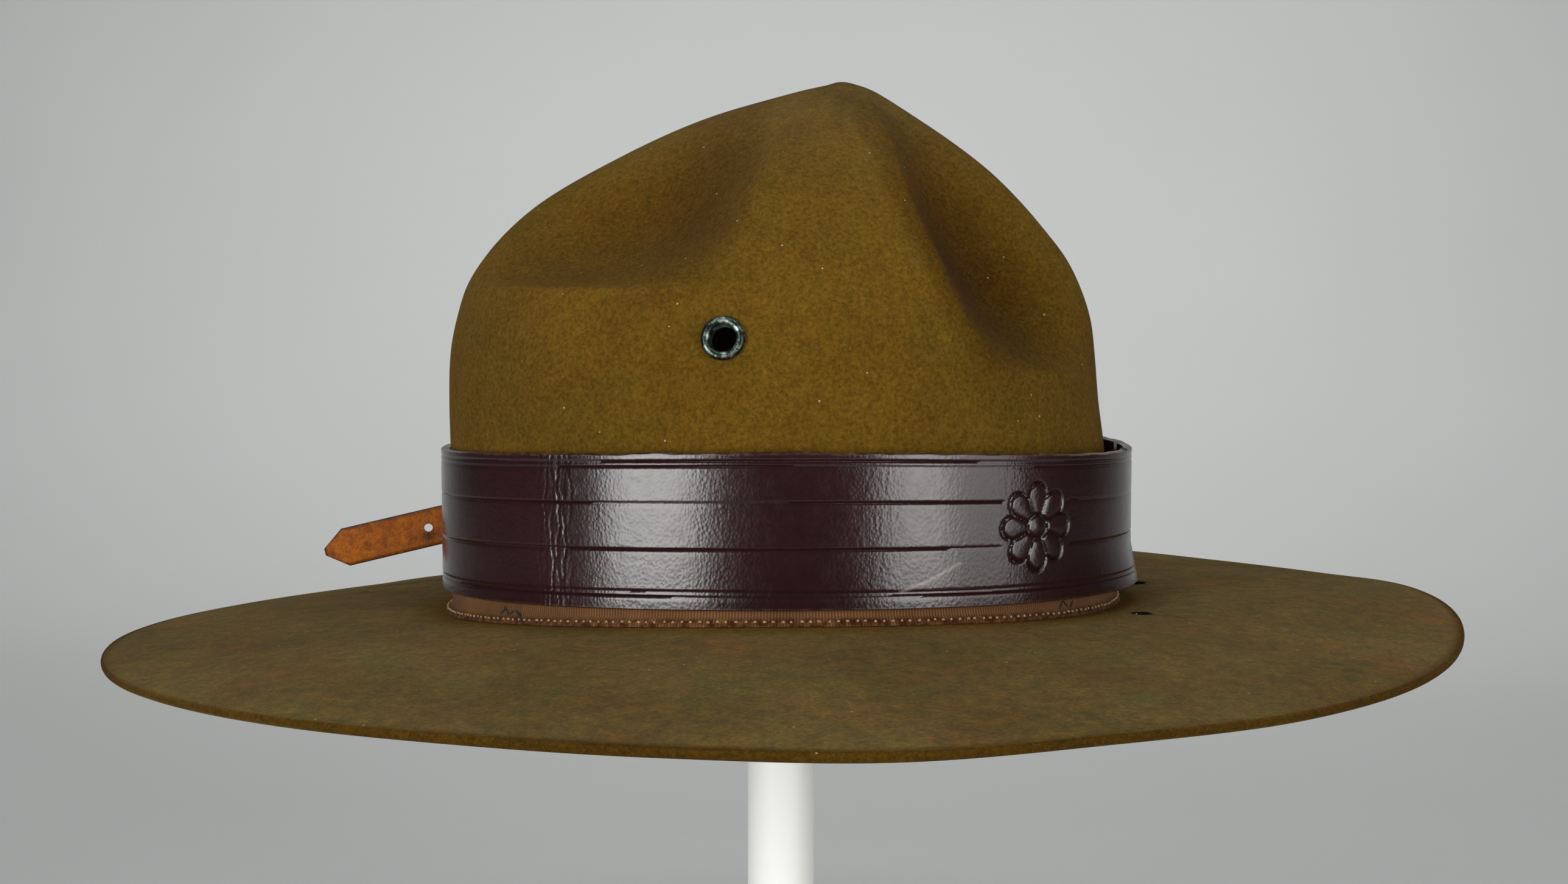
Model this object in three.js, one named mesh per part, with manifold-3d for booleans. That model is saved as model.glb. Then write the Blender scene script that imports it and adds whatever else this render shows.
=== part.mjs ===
// A felt campaign hat with a peaked crown, on a plain white stand.
// Millimetres, +Z up. The front of the hat points along +X.
// The origin is the middle of the underside of the stand's foot.

import * as THREE from 'three';
import { mergeVertices } from 'three/addons/utils/BufferGeometryUtils.js';
import Module from 'manifold-3d';

const wasm = await Module();
wasm.setup();

// Driving dimensions: how the hat sits
const hatLevel = 170;             // height of the hat's reference plane above the floor
const clearance = 0.3;            // gap between pieces that touch

// Driving dimensions: felt
const crownPeak = 180;            // top of the crown above the reference plane
const crownFront = 103;           // from the post's axis to the front of the crown, at its foot
const crownRear = 103.6;          // from the post's axis to the back of the crown, at its foot
const crownSide = 84;             // from the post's axis to each side of the crown, at its foot
const crownWall = 2;
const footFront = 19.6;           // brim's upper surface where it meets the crown, at the front
const footRear = 14;              // and the same at the rear
const footSide = 22.4;            // and at the sides
const footRadius = 4;             // rounding between crown and brim
const brimHalfLength = 208.6;
const brimHalfWidth = 189;
const brimSetback = 1.2;          // how far the brim's middle lies behind the post's axis
const brimThickness = 2.8;
const brimRounding = 1.1;         // how far the brim's corners are worn back
const brimLift = 17.2;            // height of the brim's edge at the front
const brimBow = 1.6;              // how far the brim swells above a straight slope
const frontDentDepth = 18;
const rearDentDepth = 16;

// Driving dimensions: holes and eyelets
const ventAngle = 90.8;             // where the vents are, from the front
const ventHeight = 102.3;
const eyeletBore = 7.4;
const eyeletRim = 12.6;
const eyeletInnerRim = 11;
const eyeletSheet = 0.7;          // metal of the eyelet's barrel
const eyeletRimThickness = 1.3;
const brimHoleSize = 6;
const brimHoleSpacing = 52;
const brimHoleSetback = 11;       // from the crown's foot to the middle of the hole

// Driving dimensions: ribbon, band, strap and buckle
const ribbonWidth = 25;
const ribbonThickness = 1;
const ribbonRise = 0.4;           // how far the ribbon's lower edge is above the brim
const bandHeight = 44;
const bandHeightFront = 41.5;     // the band is a little narrower at the front
const bandThickness = 2.7;
const bandRiseFront = 2.3;        // band's lower edge above the crown's foot, at the front
const bandRiseRear = 4.2;         // and the same at the rear
const bandRiseSide = 0.8;         // and at the sides
const bandStandoff = 2.4;         // how far the band stands away at the front
const bandFlare = 2.4;            // how far its lower edge turns out at the front
const bandFlareHeight = 12;
const bandGap = 10;               // between the band's two ends
const closureAngle = 114;         // middle of the buckle, from the front round the far side
const strapWidth = 13.5;
const strapThickness = 1.8;
const strapSewn = 42;             // length of strap that is sewn to the band
const strapFree = 118;            // length of strap beyond the buckle
const strapPoint = 7;             // length of the pointed tip
const strapSettle = 12;           // length beyond the buckle over which the strap straightens
const strapDroop = 0.222;         // fall of the free end for each unit of length
const strapFlare = 0.13;          // how fast the free end leaves the band
const strapHole = 3;
const strapHolePitch = 21;
const buckleBar = 2.2;
const buckleLength = 22.2;
const tabLength = 34;

// Driving dimensions: stand
const postDiameter = 21.3;
const capDiameter = 40;
const capHeight = 24;
const capDome = 7;                // height of the rounded top of the cap
const baseDiameter = 200;
const baseThickness = 6;
const collarDiameter = 34;
const collarHeight = 18;
const socketDepth = 14;

// Fineness of the faceted surfaces
const columns = 72;
const smallSides = 20;
const roundSides = 36;

const degrees = THREE.MathUtils.degToRad;
const { lerp, clamp, smoothstep } = THREE.MathUtils;

// Height of the brim's edge round the hat, from the front round the far side,
// as shares of brimLift
const brimEdge = [
  { angle: 0, lift: 0.99 },
  { angle: 15, lift: 1.02 },
  { angle: 30, lift: 0.86 },
  { angle: 45, lift: 0.78 },
  { angle: 60, lift: 0.77 },
  { angle: 75, lift: 0.69 },
  { angle: 90, lift: 0.56 },
  { angle: 105, lift: 0.38 },
  { angle: 120, lift: 0.22 },
  { angle: 135, lift: 0.12 },
  { angle: 150, lift: 0.09 },
  { angle: 165, lift: 0.13 },
  { angle: 180, lift: 0.22 },
  { angle: 195, lift: 0.31 },
  { angle: 210, lift: 0.37 },
  { angle: 225, lift: 0.475 },
  { angle: 240, lift: 0.555 },
  { angle: 255, lift: 0.62 },
  { angle: 270, lift: 0.605 },
  { angle: 285, lift: 0.56 },
  { angle: 300, lift: 0.655 },
  { angle: 315, lift: 0.655 },
  { angle: 330, lift: 0.7 },
  { angle: 345, lift: 0.81 },
];

// Rings of the brim, from its edge to the crown's foot: 1 is the edge
const brimRings = [1, 0.74, 0.42, 0.14];

// Rings of the crown, from its foot to its peak. up is a share of the way up, and the others
// are shares of crownFront, crownRear and crownSide.
const crownRings = [
  { up: 0, front: 1, rear: 0.998, side: 1 },
  { up: 0.134, front: 0.993, rear: 1, side: 0.996 },
  { up: 0.27, front: 0.983, rear: 1.011, side: 0.992 },
  { up: 0.377, front: 0.963, rear: 1.015, side: 0.988 },
  { up: 0.468, front: 0.951, rear: 1.01, side: 0.976 },
  { up: 0.54, front: 0.937, rear: 0.991, side: 0.952 },
  { up: 0.604, front: 0.907, rear: 0.959, side: 0.91 },
  { up: 0.66, front: 0.863, rear: 0.9, side: 0.85 },
  { up: 0.717, front: 0.791, rear: 0.817, side: 0.77 },
  { up: 0.774, front: 0.71, rear: 0.712, side: 0.675 },
  { up: 0.83, front: 0.621, rear: 0.576, side: 0.565 },
  { up: 0.887, front: 0.511, rear: 0.4, side: 0.43 },
  { up: 0.938, front: 0.396, rear: 0.2, side: 0.285 },
  { up: 0.977, front: 0.3, rear: -0.015, side: 0.145 },
  { up: 0.993, front: 0.243, rear: -0.128, side: 0.07 },
];
const peakForward = 0.184;        // the peak's place, as a share of crownFront

// The four dents: two pairs. edge is the crisp side of a dent and fade the other one, as angles
// from the front. low and high are shares of the way up. swingLow and swingHigh are how far the
// crisp side swings forwards at the bottom and top, in degrees. deepest is where across the
// dent it is deepest, and floor is where up the dent.
const frontDent = {
  depth: frontDentDepth, edge: 53, fade: 6, low: 0.44, high: 1,
  swingLow: 11, swingHigh: 12, deepest: 0.42, floor: 0.36,
};
const rearDent = {
  depth: rearDentDepth, edge: 89, fade: 168, low: 0.6, high: 0.99,
  swingLow: -8, swingHigh: 4, deepest: 0.4, floor: 0.42,
};
const dents = [frontDent, rearDent];

// A smooth closed curve through the brim's edge table
function edgeHeight(angle) {
  const turn = THREE.MathUtils.euclideanModulo(angle, 360);
  const step = 360 / brimEdge.length;
  const index = Math.floor(turn / step);
  const at = (k) => brimEdge[(index + k + brimEdge.length) % brimEdge.length].lift;
  const t = turn / step - index;
  const bend = at(-1) - at(0) * 2.5 + at(1) * 2 - at(2) * 0.5;
  const twist = (at(0) - at(1)) * 1.5 + (at(2) - at(-1)) * 0.5;
  const slope = (at(1) - at(-1)) * 0.5;
  return brimLift * (at(0) + t * (slope + t * (bend + t * twist)));
}

// A point of an oval whose front, rear and side reaches are given
function ovalPoint(front, rear, side, angle, height) {
  const a = degrees(angle);
  const middle = (front - rear) / 2;
  const half = (front + rear) / 2;
  return new THREE.Vector3(middle + half * Math.cos(a), side * Math.sin(a), height);
}

// A value that goes smoothly round the hat through its values at the front, rear and sides
function around(angle, front, rear, side) {
  const cosine = Math.cos(degrees(angle));
  const middle = (front + rear) / 2;
  return middle + ((front - rear) / 2) * cosine + (side - middle) * (1 - cosine ** 2);
}

function footLevel(angle) {
  return hatLevel + around(angle, footFront, footRear, footSide);
}

// The crown's foot is arched, and the arch is gone at archTop of the way up
const archTop = 0.57;
const crownFoot = (footFront + footRear) / 2 + footRadius;

function crownPoint(ring, angle) {
  const arch = footLevel(angle) + footRadius - hatLevel - crownFoot;
  const fade = 1 - smoothstep(ring.up, 0, archTop);
  return ovalPoint(
    ring.front * crownFront,
    ring.rear * crownRear,
    ring.side * crownSide,
    angle,
    hatLevel + lerp(crownFoot, crownPeak, ring.up) + arch * fade,
  );
}

// The rounding at the crown's foot, widened by reach and raised by lift
function footPoint(angle, reach, lift) {
  const [ring] = crownRings;
  return ovalPoint(
    ring.front * crownFront + reach,
    ring.rear * crownRear + reach,
    ring.side * crownSide + reach,
    angle,
    footLevel(angle) + lift,
  );
}

// The middle of the brim's edge, drawn in by an amount
function edgePoint(angle, inset) {
  return ovalPoint(
    brimHalfLength - brimSetback - inset,
    brimHalfLength + brimSetback - inset,
    brimHalfWidth - inset,
    angle,
    hatLevel + edgeHeight(angle),
  );
}

function brimPoint(share, angle) {
  const inner = footPoint(angle, footRadius, 0);
  const tip = edgePoint(angle, brimRounding);
  tip.z += brimThickness / 2;
  const point = inner.clone().lerp(tip, share);
  point.z += brimBow * 4 * share * (1 - share);
  return point;
}

// How deep the dents are at a place of the crown
function dentDepth(angle, height) {
  const turn = Math.abs(THREE.MathUtils.euclideanModulo(angle + 180, 360) - 180);
  const level = (height - hatLevel - crownFoot) / (crownPeak - crownFoot);
  let depth = 0;
  for (const dent of dents) {
    const up = (level - dent.low) / (dent.high - dent.low);
    if (up <= 0 || up >= 1) continue;
    const swing = (up < 0.5 ? dent.swingLow : dent.swingHigh) * (2 * up - 1) ** 2;
    const edge = dent.edge - swing;
    const across = (turn - edge) / (dent.fade - edge);
    if (across <= 0 || across >= 1) continue;
    depth += dent.depth * dentRise(across, dent.deepest) * dentRise(up, dent.floor);
  }
  return depth;
}

// Rises at once from 0, is 1 at the deepest place, and runs out softly to 0
function dentRise(share, deepest) {
  if (share < deepest) return 1 - (1 - share / deepest) ** 2;
  return 0.5 + 0.5 * Math.cos((Math.PI * (share - deepest)) / (1 - deepest));
}

function columnAngle(column) {
  return (360 * column) / columns;
}

// Each grid is a list of rings of points, from outside to inside or from bottom to top
function ringOf(pointAt) {
  return Array.from({ length: columns }, (_, column) => pointAt(columnAngle(column)));
}

// Directions square to a grid's surface, on its left side going round and up
function gridNormals(grid) {
  return grid.map((ring, row) =>
    ring.map((_, column) => {
      const before = ring[(column + columns - 1) % columns];
      const after = ring[(column + 1) % columns];
      const below = grid[Math.max(row - 1, 0)][column];
      const above = grid[Math.min(row + 1, grid.length - 1)][column];
      const along = after.clone().sub(before);
      return along.cross(above.clone().sub(below)).normalize();
    }),
  );
}

function offsetGrid(grid, normals, distanceOf) {
  return grid.map((ring, row) =>
    ring.map((point, column) =>
      point.clone().addScaledVector(normals[row][column], distanceOf(point, row, column))),
  );
}

// Rings of the rounding at the crown's foot, as angles round it
const footTurns = [0, 45];

// Felt: outer surface from the brim's edge up to the peak, and the inner surface below it
function feltGrids() {
  const smooth = [];
  for (const share of brimRings) smooth.push(ringOf((angle) => brimPoint(share, angle)));
  for (const turn of footTurns) {
    const reach = footRadius * (1 - Math.sin(degrees(turn)));
    const lift = footRadius * (1 - Math.cos(degrees(turn)));
    smooth.push(ringOf((angle) => footPoint(angle, reach, lift)));
  }
  const footRow = smooth.length - 1;
  for (const ring of crownRings) smooth.push(ringOf((angle) => crownPoint(ring, angle)));
  const dented = offsetGrid(
    smooth,
    gridNormals(smooth),
    (point, row, column) => (row > footRow ? -dentDepth(columnAngle(column), point.z) : 0),
  );
  const wallOf = (row) => (row < brimRings.length ? brimThickness : crownWall);
  const inner = offsetGrid(dented, gridNormals(dented), (point, row) => -wallOf(row));
  const edge = ringOf((angle) => edgePoint(angle, 0));
  return { outer: dented, inner, edge, footRow };
}

const felt = feltGrids();
const peak = new THREE.Vector3(peakForward * crownFront, 0, hatLevel + crownPeak);
const innerPeak = peak.clone().setZ(peak.z - crownWall);

// A mesh under construction: points and the triangles between them
class Shell {
  constructor() {
    this.points = [];
    this.triangles = [];
  }

  add(point) {
    this.points.push(point.x, point.y, point.z);
    return this.points.length / 3 - 1;
  }

  addAll(points) {
    return points.map((point) => this.add(point));
  }

  quad(a, b, c, d) {
    this.triangles.push(a, b, c, a, c, d);
  }

  // A strip between two rings of points, closed on itself or open
  strip(lower, upper, closed) {
    const count = closed ? lower.length : lower.length - 1;
    for (let k = 0; k < count; k += 1) {
      const next = (k + 1) % lower.length;
      this.quad(lower[k], lower[next], upper[next], upper[k]);
    }
  }

  fan(ring, tip) {
    for (let k = 0; k < ring.length; k += 1) {
      this.triangles.push(ring[k], ring[(k + 1) % ring.length], tip);
    }
  }

  geometry() {
    const geometry = new THREE.BufferGeometry();
    geometry.setAttribute('position', new THREE.Float32BufferAttribute(this.points, 3));
    geometry.setIndex(this.triangles);
    return geometry;
  }
}

function toSolid(geometry) {
  const bare = geometry.clone();
  bare.deleteAttribute('normal');
  bare.deleteAttribute('uv');
  const merged = mergeVertices(bare, 1e-4);
  return new wasm.Manifold(new wasm.Mesh({
    numProp: 3,
    vertProperties: new Float32Array(merged.attributes.position.array),
    triVerts: new Uint32Array(merged.index.array),
  }));
}

function toGeometry(solid) {
  const mesh = solid.getMesh();
  const geometry = new THREE.BufferGeometry();
  geometry.setAttribute('position', new THREE.Float32BufferAttribute(mesh.vertProperties, 3));
  geometry.setIndex(Array.from(mesh.triVerts));
  return geometry;
}

// A round cutter whose middle is at centre and whose axis lies along direction
function drill(diameter, length, centre, direction) {
  const cutter = new THREE.CylinderGeometry(diameter / 2, diameter / 2, length, smallSides);
  const turn = new THREE.Quaternion().setFromUnitVectors(new THREE.Vector3(0, 1, 0), direction);
  cutter.applyQuaternion(turn);
  cutter.translate(centre.x, centre.y, centre.z);
  return cutter;
}

function cutAway(geometry, cutters) {
  let solid = toSolid(geometry);
  for (const cutter of cutters) solid = solid.subtract(toSolid(cutter));
  return toGeometry(solid);
}

// Place and outward direction of a point of the felt's outer wall at an angle and height
function wallSeat(angle, height) {
  const column = THREE.MathUtils.euclideanModulo(angle, 360) / (360 / columns);
  const left = Math.floor(column) % columns;
  const right = (left + 1) % columns;
  const share = column - Math.floor(column);
  const along = felt.outer.map((ring) => ring[left].clone().lerp(ring[right], share));
  let row = brimRings.length;
  while (row < along.length - 2 && along[row + 1].z < height) row += 1;
  const rise = clamp((height - along[row].z) / (along[row + 1].z - along[row].z), 0, 1);
  const point = along[row].clone().lerp(along[row + 1], rise);
  const round = felt.outer[row][right].clone().sub(felt.outer[row][left]);
  const direction = round.cross(along[row + 1].clone().sub(along[row])).normalize();
  return { point, direction };
}

// Holes in the brim, side by side in front of the crown
function brimHolePlace(side) {
  const reach = footRadius + brimHoleSetback;
  const angle = (side * THREE.MathUtils.radToDeg(brimHoleSpacing / 2)) / crownSide;
  const point = footPoint(angle, reach, 0);
  const share = reach / (brimHalfLength - crownFront);
  point.z = brimPoint(share, angle).z;
  return point;
}

const vents = [
  { name: 'eyelet_right', seat: wallSeat(-ventAngle, hatLevel + ventHeight) },
  { name: 'eyelet_left', seat: wallSeat(ventAngle, hatLevel + ventHeight) },
];

function feltBody() {
  const shell = new Shell();
  const outer = felt.outer.map((ring) => shell.addAll(ring));
  const inner = felt.inner.map((ring) => shell.addAll(ring));
  const edge = shell.addAll(felt.edge);
  for (let row = 0; row + 1 < outer.length; row += 1) {
    shell.strip(outer[row], outer[row + 1], true);
    shell.strip(inner[row + 1], inner[row], true);
  }
  shell.strip(edge, outer[0], true);
  shell.strip(inner[0], edge, true);
  shell.fan(outer.at(-1), shell.add(peak));
  shell.fan([...inner.at(-1)].reverse(), shell.add(innerPeak));
  const barrel = eyeletBore + 2 * (eyeletSheet + clearance);
  const cutters = vents.map(({ seat }) =>
    drill(barrel, crownWall * 8, seat.point, seat.direction));
  const upright = new THREE.Vector3(0, 0, 1);
  for (const side of [-1, 1]) {
    cutters.push(drill(brimHoleSize, brimThickness * 6, brimHolePlace(side), upright));
  }
  return cutAway(shell.geometry(), cutters);
}

// Ribbon: a thin skin that follows the felt's outer surface round the crown's foot
function ribbonGeometry() {
  const turnLift = footRadius * (1 - Math.cos(degrees(footTurns.at(-1))));
  const lifts = [Math.min(ribbonRise, turnLift * 0.9), turnLift, footRadius, ribbonWidth];
  const rows = lifts.map((lift) =>
    ringOf((angle) => wallSeat(angle, footLevel(angle) + lift).point));
  const normals = gridNormals(rows);
  const innerRows = offsetGrid(rows, normals, () => clearance);
  const outerRows = offsetGrid(rows, normals, () => clearance + ribbonThickness);
  const shell = new Shell();
  const inner = innerRows.map((ring) => shell.addAll(ring));
  const outer = outerRows.map((ring) => shell.addAll(ring));
  for (let row = 0; row + 1 < rows.length; row += 1) {
    shell.strip(outer[row], outer[row + 1], true);
    shell.strip(inner[row + 1], inner[row], true);
  }
  shell.strip(inner[0], outer[0], true);
  shell.strip(outer.at(-1), inner.at(-1), true);
  return shell.geometry();
}

// Band: an upright strap round the crown, over the ribbon, open on the far side.
// Its inside clears the crown's lowest rings, of which the first two are under the ribbon.
function bandReach(reach, share) {
  const overRibbon = ribbonThickness + clearance;
  const needs = crownRings.slice(0, 3).map((ring, row) =>
    reach * ring[share] + clearance + (row < 2 ? overRibbon : 0));
  return Math.max(...needs);
}

const bandInside = {
  front: bandReach(crownFront, 'front') + bandStandoff,
  rear: bandReach(crownRear, 'rear'),
  side: bandReach(crownSide, 'side'),
};

function bandPoint(angle, offset, height) {
  const { front, rear, side } = bandInside;
  const point = ovalPoint(front, rear, side, angle, 0);
  const middle = (front - rear) / 2;
  const half = (front + rear) / 2;
  const out = new THREE.Vector3((point.x - middle) / half ** 2, point.y / side ** 2, 0);
  point.addScaledVector(out.normalize(), offset);
  const rise = around(angle, bandRiseFront, bandRiseRear, bandRiseSide);
  point.z = footLevel(angle) + footRadius + rise + height;
  return point;
}

// The angle at a distance along the band's outside, from the middle of the buckle towards the
// rear, found by small steps
function angleAlong(distance) {
  const stepLength = 0.25;
  const direction = Math.sign(distance);
  const stepAngle = 0.01;
  let angle = closureAngle;
  for (let gone = 0; gone < Math.abs(distance); gone += stepLength) {
    const here = bandPoint(angle, bandThickness, 0).setZ(0);
    const there = bandPoint(angle + stepAngle, bandThickness, 0).setZ(0);
    const reach = Math.min(stepLength, Math.abs(distance) - gone);
    angle += (direction * stepAngle * reach) / here.distanceTo(there);
  }
  return angle;
}

// A point at a distance along the band, standing off its outside, above or below its middle
function alongBand(distance, offset, rise) {
  return bandPoint(angleAlong(distance), bandThickness + offset, bandHeight / 2 + rise);
}

// A bar swept through sections of an even number of corners, closed at both ends
function sweptBar(sections) {
  const shell = new Shell();
  const rows = sections.map((corners) => shell.addAll(corners));
  for (let k = 0; k + 1 < rows.length; k += 1) shell.strip(rows[k], rows[k + 1], true);
  const first = rows[0];
  const last = rows.at(-1);
  for (let k = 0; k + 1 < first.length / 2; k += 1) {
    const far = first.length - 1 - k;
    shell.quad(first[far], first[far - 1], first[k + 1], first[k]);
    shell.quad(last[k], last[k + 1], last[far - 1], last[far]);
  }
  return shell.geometry();
}

function bandGeometry() {
  const start = angleAlong(-buckleLength / 2 - clearance);
  const end = angleAlong(-buckleLength / 2 - clearance - bandGap) + 360;
  const sections = [];
  for (let k = 0; k <= columns; k += 1) {
    const angle = lerp(start, end, k / columns);
    const frontness = Math.max(0, Math.cos(degrees(angle)));
    const flare = bandFlare * frontness ** 12;
    const top = lerp(bandHeight, bandHeightFront, frontness ** 2);
    sections.push([
      bandPoint(angle, flare, 0),
      bandPoint(angle, 0, bandFlareHeight),
      bandPoint(angle, 0, top),
      bandPoint(angle, bandThickness, top),
      bandPoint(angle, bandThickness, bandFlareHeight),
      bandPoint(angle, bandThickness + flare, 0),
    ]);
  }
  return sweptBar(sections);
}

// Heights above the band's outside at which strap, buckle and tab lie over each other
const strapLow = clearance + strapThickness / 2;
const barLow = clearance + strapThickness + clearance;
const barMiddle = barLow + buckleBar / 2;
const tabTop = barLow + buckleBar + clearance + strapThickness;
const strapHigh = tabTop + clearance + strapThickness / 2;
const barReach = (buckleLength - buckleBar) / 2;

// Middle line of the strap: sewn on, under the front bar, over the tab, then out and down
function strapCentre(distance) {
  const leave = barReach + buckleBar;
  const riseStart = -barReach + buckleBar / 2;
  const riseEnd = barReach - buckleBar / 2 - clearance - strapThickness * 1.6;
  const held = Math.min(distance, leave);
  const offset = lerp(strapLow, strapHigh, smoothstep(held, riseStart, riseEnd));
  const point = alongBand(held, offset, 0);
  if (distance > leave) {
    const before = alongBand(leave - 1, strapHigh, 0);
    const heading = point.clone().sub(before).setZ(0).normalize();
    const outward = new THREE.Vector3(heading.y, -heading.x, 0);
    const free = distance - leave;
    point.addScaledVector(heading, free).addScaledVector(outward, free * strapFlare);
    point.z -= strapDroop * (Math.sqrt(free ** 2 + strapPoint ** 2) - strapPoint);
  }
  return point;
}

const strapEnd = barReach + strapFree;

function strapHalfWidth(distance) {
  const left = strapEnd - distance;
  return left < strapPoint ? lerp(0.18, 1, left / strapPoint) * strapWidth / 2 : strapWidth / 2;
}

function strapFrame(distance) {
  const heading = strapCentre(distance + 0.5).sub(strapCentre(distance - 0.5)).normalize();
  const outward = new THREE.Vector3(heading.y, -heading.x, 0).normalize();
  const upward = outward.clone().cross(heading).normalize();
  return { outward, upward };
}

function strapGeometry() {
  const sewnStart = -buckleLength / 2 - clearance - bandGap - strapSewn;
  const straightStart = barReach + buckleBar + strapSettle;
  const places = [];
  for (let k = 0; k <= 8; k += 1) places.push(lerp(sewnStart, -barReach, k / 8));
  for (let k = 1; k <= 12; k += 1) places.push(lerp(-barReach, straightStart, k / 12));
  for (const share of [0.3, 0.65, 1]) {
    places.push(lerp(straightStart, strapEnd - strapPoint, share));
  }
  places.push(strapEnd);
  const sections = places.map((distance) => {
    const centre = strapCentre(distance);
    const { outward, upward } = strapFrame(distance);
    const half = strapHalfWidth(distance);
    const corner = (out, up) => centre.clone()
      .addScaledVector(outward, (out * strapThickness) / 2)
      .addScaledVector(upward, up * half);
    return [corner(-1, -1), corner(-1, 1), corner(1, 1), corner(1, -1)];
  });
  const holes = [1, 2].map((count) => {
    const distance = strapEnd - strapHolePitch * (count + 0.7);
    return drill(
      strapHole, strapThickness * 6, strapCentre(distance), strapFrame(distance).outward,
    );
  });
  return cutAway(sweptBar(sections), holes);
}

// A flat shape drawn along the band and outwards, given height, then bent round the band
function bentAlongBand(shape, width) {
  const geometry = new THREE.ExtrudeGeometry(shape, { depth: width, bevelEnabled: false });
  const position = geometry.attributes.position;
  for (let k = 0; k < position.count; k += 1) {
    const point = alongBand(position.getX(k), position.getY(k), position.getZ(k) - width / 2);
    position.setXYZ(k, point.x, point.y, point.z);
  }
  return geometry;
}

// Mirrors the winding of a bare geometry, so that its faces point outwards
function turnedInsideOut(geometry) {
  const bare = geometry.clone();
  bare.deleteAttribute('normal');
  bare.deleteAttribute('uv');
  const merged = mergeVertices(bare, 1e-4);
  const index = Array.from(merged.index.array);
  for (let k = 0; k < index.length; k += 3) [index[k], index[k + 1]] = [index[k + 1], index[k]];
  merged.setIndex(index);
  return merged;
}

// Points of an outline with extra ones along its long sides, so that it can bend
function outlinePoints(corners, longest) {
  const points = [];
  corners.forEach(([x, y], k) => {
    const [nextX, nextY] = corners[(k + 1) % corners.length];
    const pieces = Math.max(1, Math.ceil(Math.hypot(nextX - x, nextY - y) / longest));
    for (let part = 0; part < pieces; part += 1) {
      points.push(new THREE.Vector2(
        lerp(x, nextX, part / pieces),
        lerp(y, nextY, part / pieces),
      ));
    }
  });
  return points;
}

// Buckle: a plain rectangular frame, bent round the band
function buckleGeometry() {
  const openingHeight = strapWidth + 2 * clearance + 1;
  const outerHeight = openingHeight + 2 * buckleBar;
  const bar = (low, high) => [[low, barLow], [high, barLow],
    [high, barLow + buckleBar], [low, barLow + buckleBar]];
  const frameShape = new THREE.Shape(outlinePoints(bar(-buckleLength / 2, buckleLength / 2), 4));
  const frame = toSolid(turnedInsideOut(bentAlongBand(frameShape, outerHeight)));
  const inside = barReach - buckleBar / 2;
  const openingShape = new THREE.Shape(outlinePoints([
    [-inside, barLow - buckleBar], [inside, barLow - buckleBar],
    [inside, barLow + 2 * buckleBar], [-inside, barLow + 2 * buckleBar],
  ], 4));
  const opening = toSolid(turnedInsideOut(bentAlongBand(openingShape, openingHeight)));
  return toGeometry(frame.subtract(opening));
}

// Tab: leather folded round the buckle's rear bar and sewn to the band
function tabGeometry() {
  const inside = buckleBar / 2 + clearance;
  const fold = barReach - inside - strapThickness;
  const leaf = clearance + strapThickness;
  const shape = new THREE.Shape(outlinePoints([
    [fold, clearance],
    [fold + tabLength, clearance],
    [fold + tabLength, clearance + 2 * strapThickness],
    [barReach + 3 * inside + strapThickness, clearance + 2 * strapThickness],
    [barReach + inside + strapThickness / 2, tabTop],
    [fold, tabTop],
  ], 4));
  shape.holes.push(new THREE.Path([
    new THREE.Vector2(barReach - inside, leaf),
    new THREE.Vector2(barReach - inside, barLow + buckleBar + clearance),
    new THREE.Vector2(barReach + inside, barLow + buckleBar + clearance),
    new THREE.Vector2(barReach + inside, leaf),
  ]));
  return turnedInsideOut(bentAlongBand(shape, strapWidth));
}

// Eyelet: a spool with a rim outside the felt and a smaller one inside
function eyeletGeometry() {
  const bore = eyeletBore / 2;
  const barrel = bore + eyeletSheet;
  const innerFace = -crownWall - 2.4 * clearance;
  const rim = eyeletRim / 2;
  const innerRim = eyeletInnerRim / 2;
  const profile = [
    [bore, innerFace - eyeletSheet],
    [innerRim, innerFace - eyeletSheet],
    [innerRim, innerFace],
    [barrel, innerFace],
    [barrel, clearance],
    [rim, clearance],
    [rim - eyeletSheet / 2, clearance + eyeletRimThickness * 0.7],
    [(rim + bore) / 2, clearance + eyeletRimThickness],
    [bore + eyeletSheet / 2, clearance + eyeletRimThickness * 0.8],
    [bore, clearance],
    [bore, innerFace - eyeletSheet],
  ].map(([radius, height]) => new THREE.Vector2(radius, height));
  return new THREE.LatheGeometry(profile, smallSides);
}

// Stand: the cap is as high as the crown's inside lets it be
function capProfile(radius) {
  return capDome * (1 - (radius / (capDiameter / 2)) ** 2);
}

function capTopHeight() {
  const rings = [...felt.inner.slice(felt.footRow), Array(columns).fill(innerPeak)];
  let top = Infinity;
  for (let row = 0; row + 1 < rings.length; row += 1) {
    for (let column = 0; column < columns; column += 1) {
      const next = (column + 1) % columns;
      for (const share of [0, 0.25, 0.5, 0.75]) {
        const low = rings[row][column].clone().lerp(rings[row][next], share);
        const high = rings[row + 1][column].clone().lerp(rings[row + 1][next], share);
        for (const rise of [0, 0.25, 0.5, 0.75]) {
          const point = low.clone().lerp(high, rise);
          const radius = Math.hypot(point.x, point.y);
          if (radius > capDiameter / 2) continue;
          top = Math.min(top, point.z - clearance - capProfile(radius) + capDome);
        }
      }
    }
  }
  return top;
}

const capTop = capTopHeight();
const socketRadius = postDiameter / 2 + clearance;
const postTop = capTop - capHeight + socketDepth - clearance;

function capGeometry() {
  const radius = capDiameter / 2;
  const profile = [
    [0, capTop - capHeight + socketDepth],
    [socketRadius, capTop - capHeight + socketDepth],
    [socketRadius, capTop - capHeight],
    [radius * 0.75, capTop - capHeight],
    [radius, capTop - capDome],
  ];
  for (const share of [0.8, 0.6, 0.4, 0.2, 0]) {
    profile.push([radius * share, capTop - capDome + capProfile(radius * share)]);
  }
  return uprightLathe(profile);
}

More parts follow.
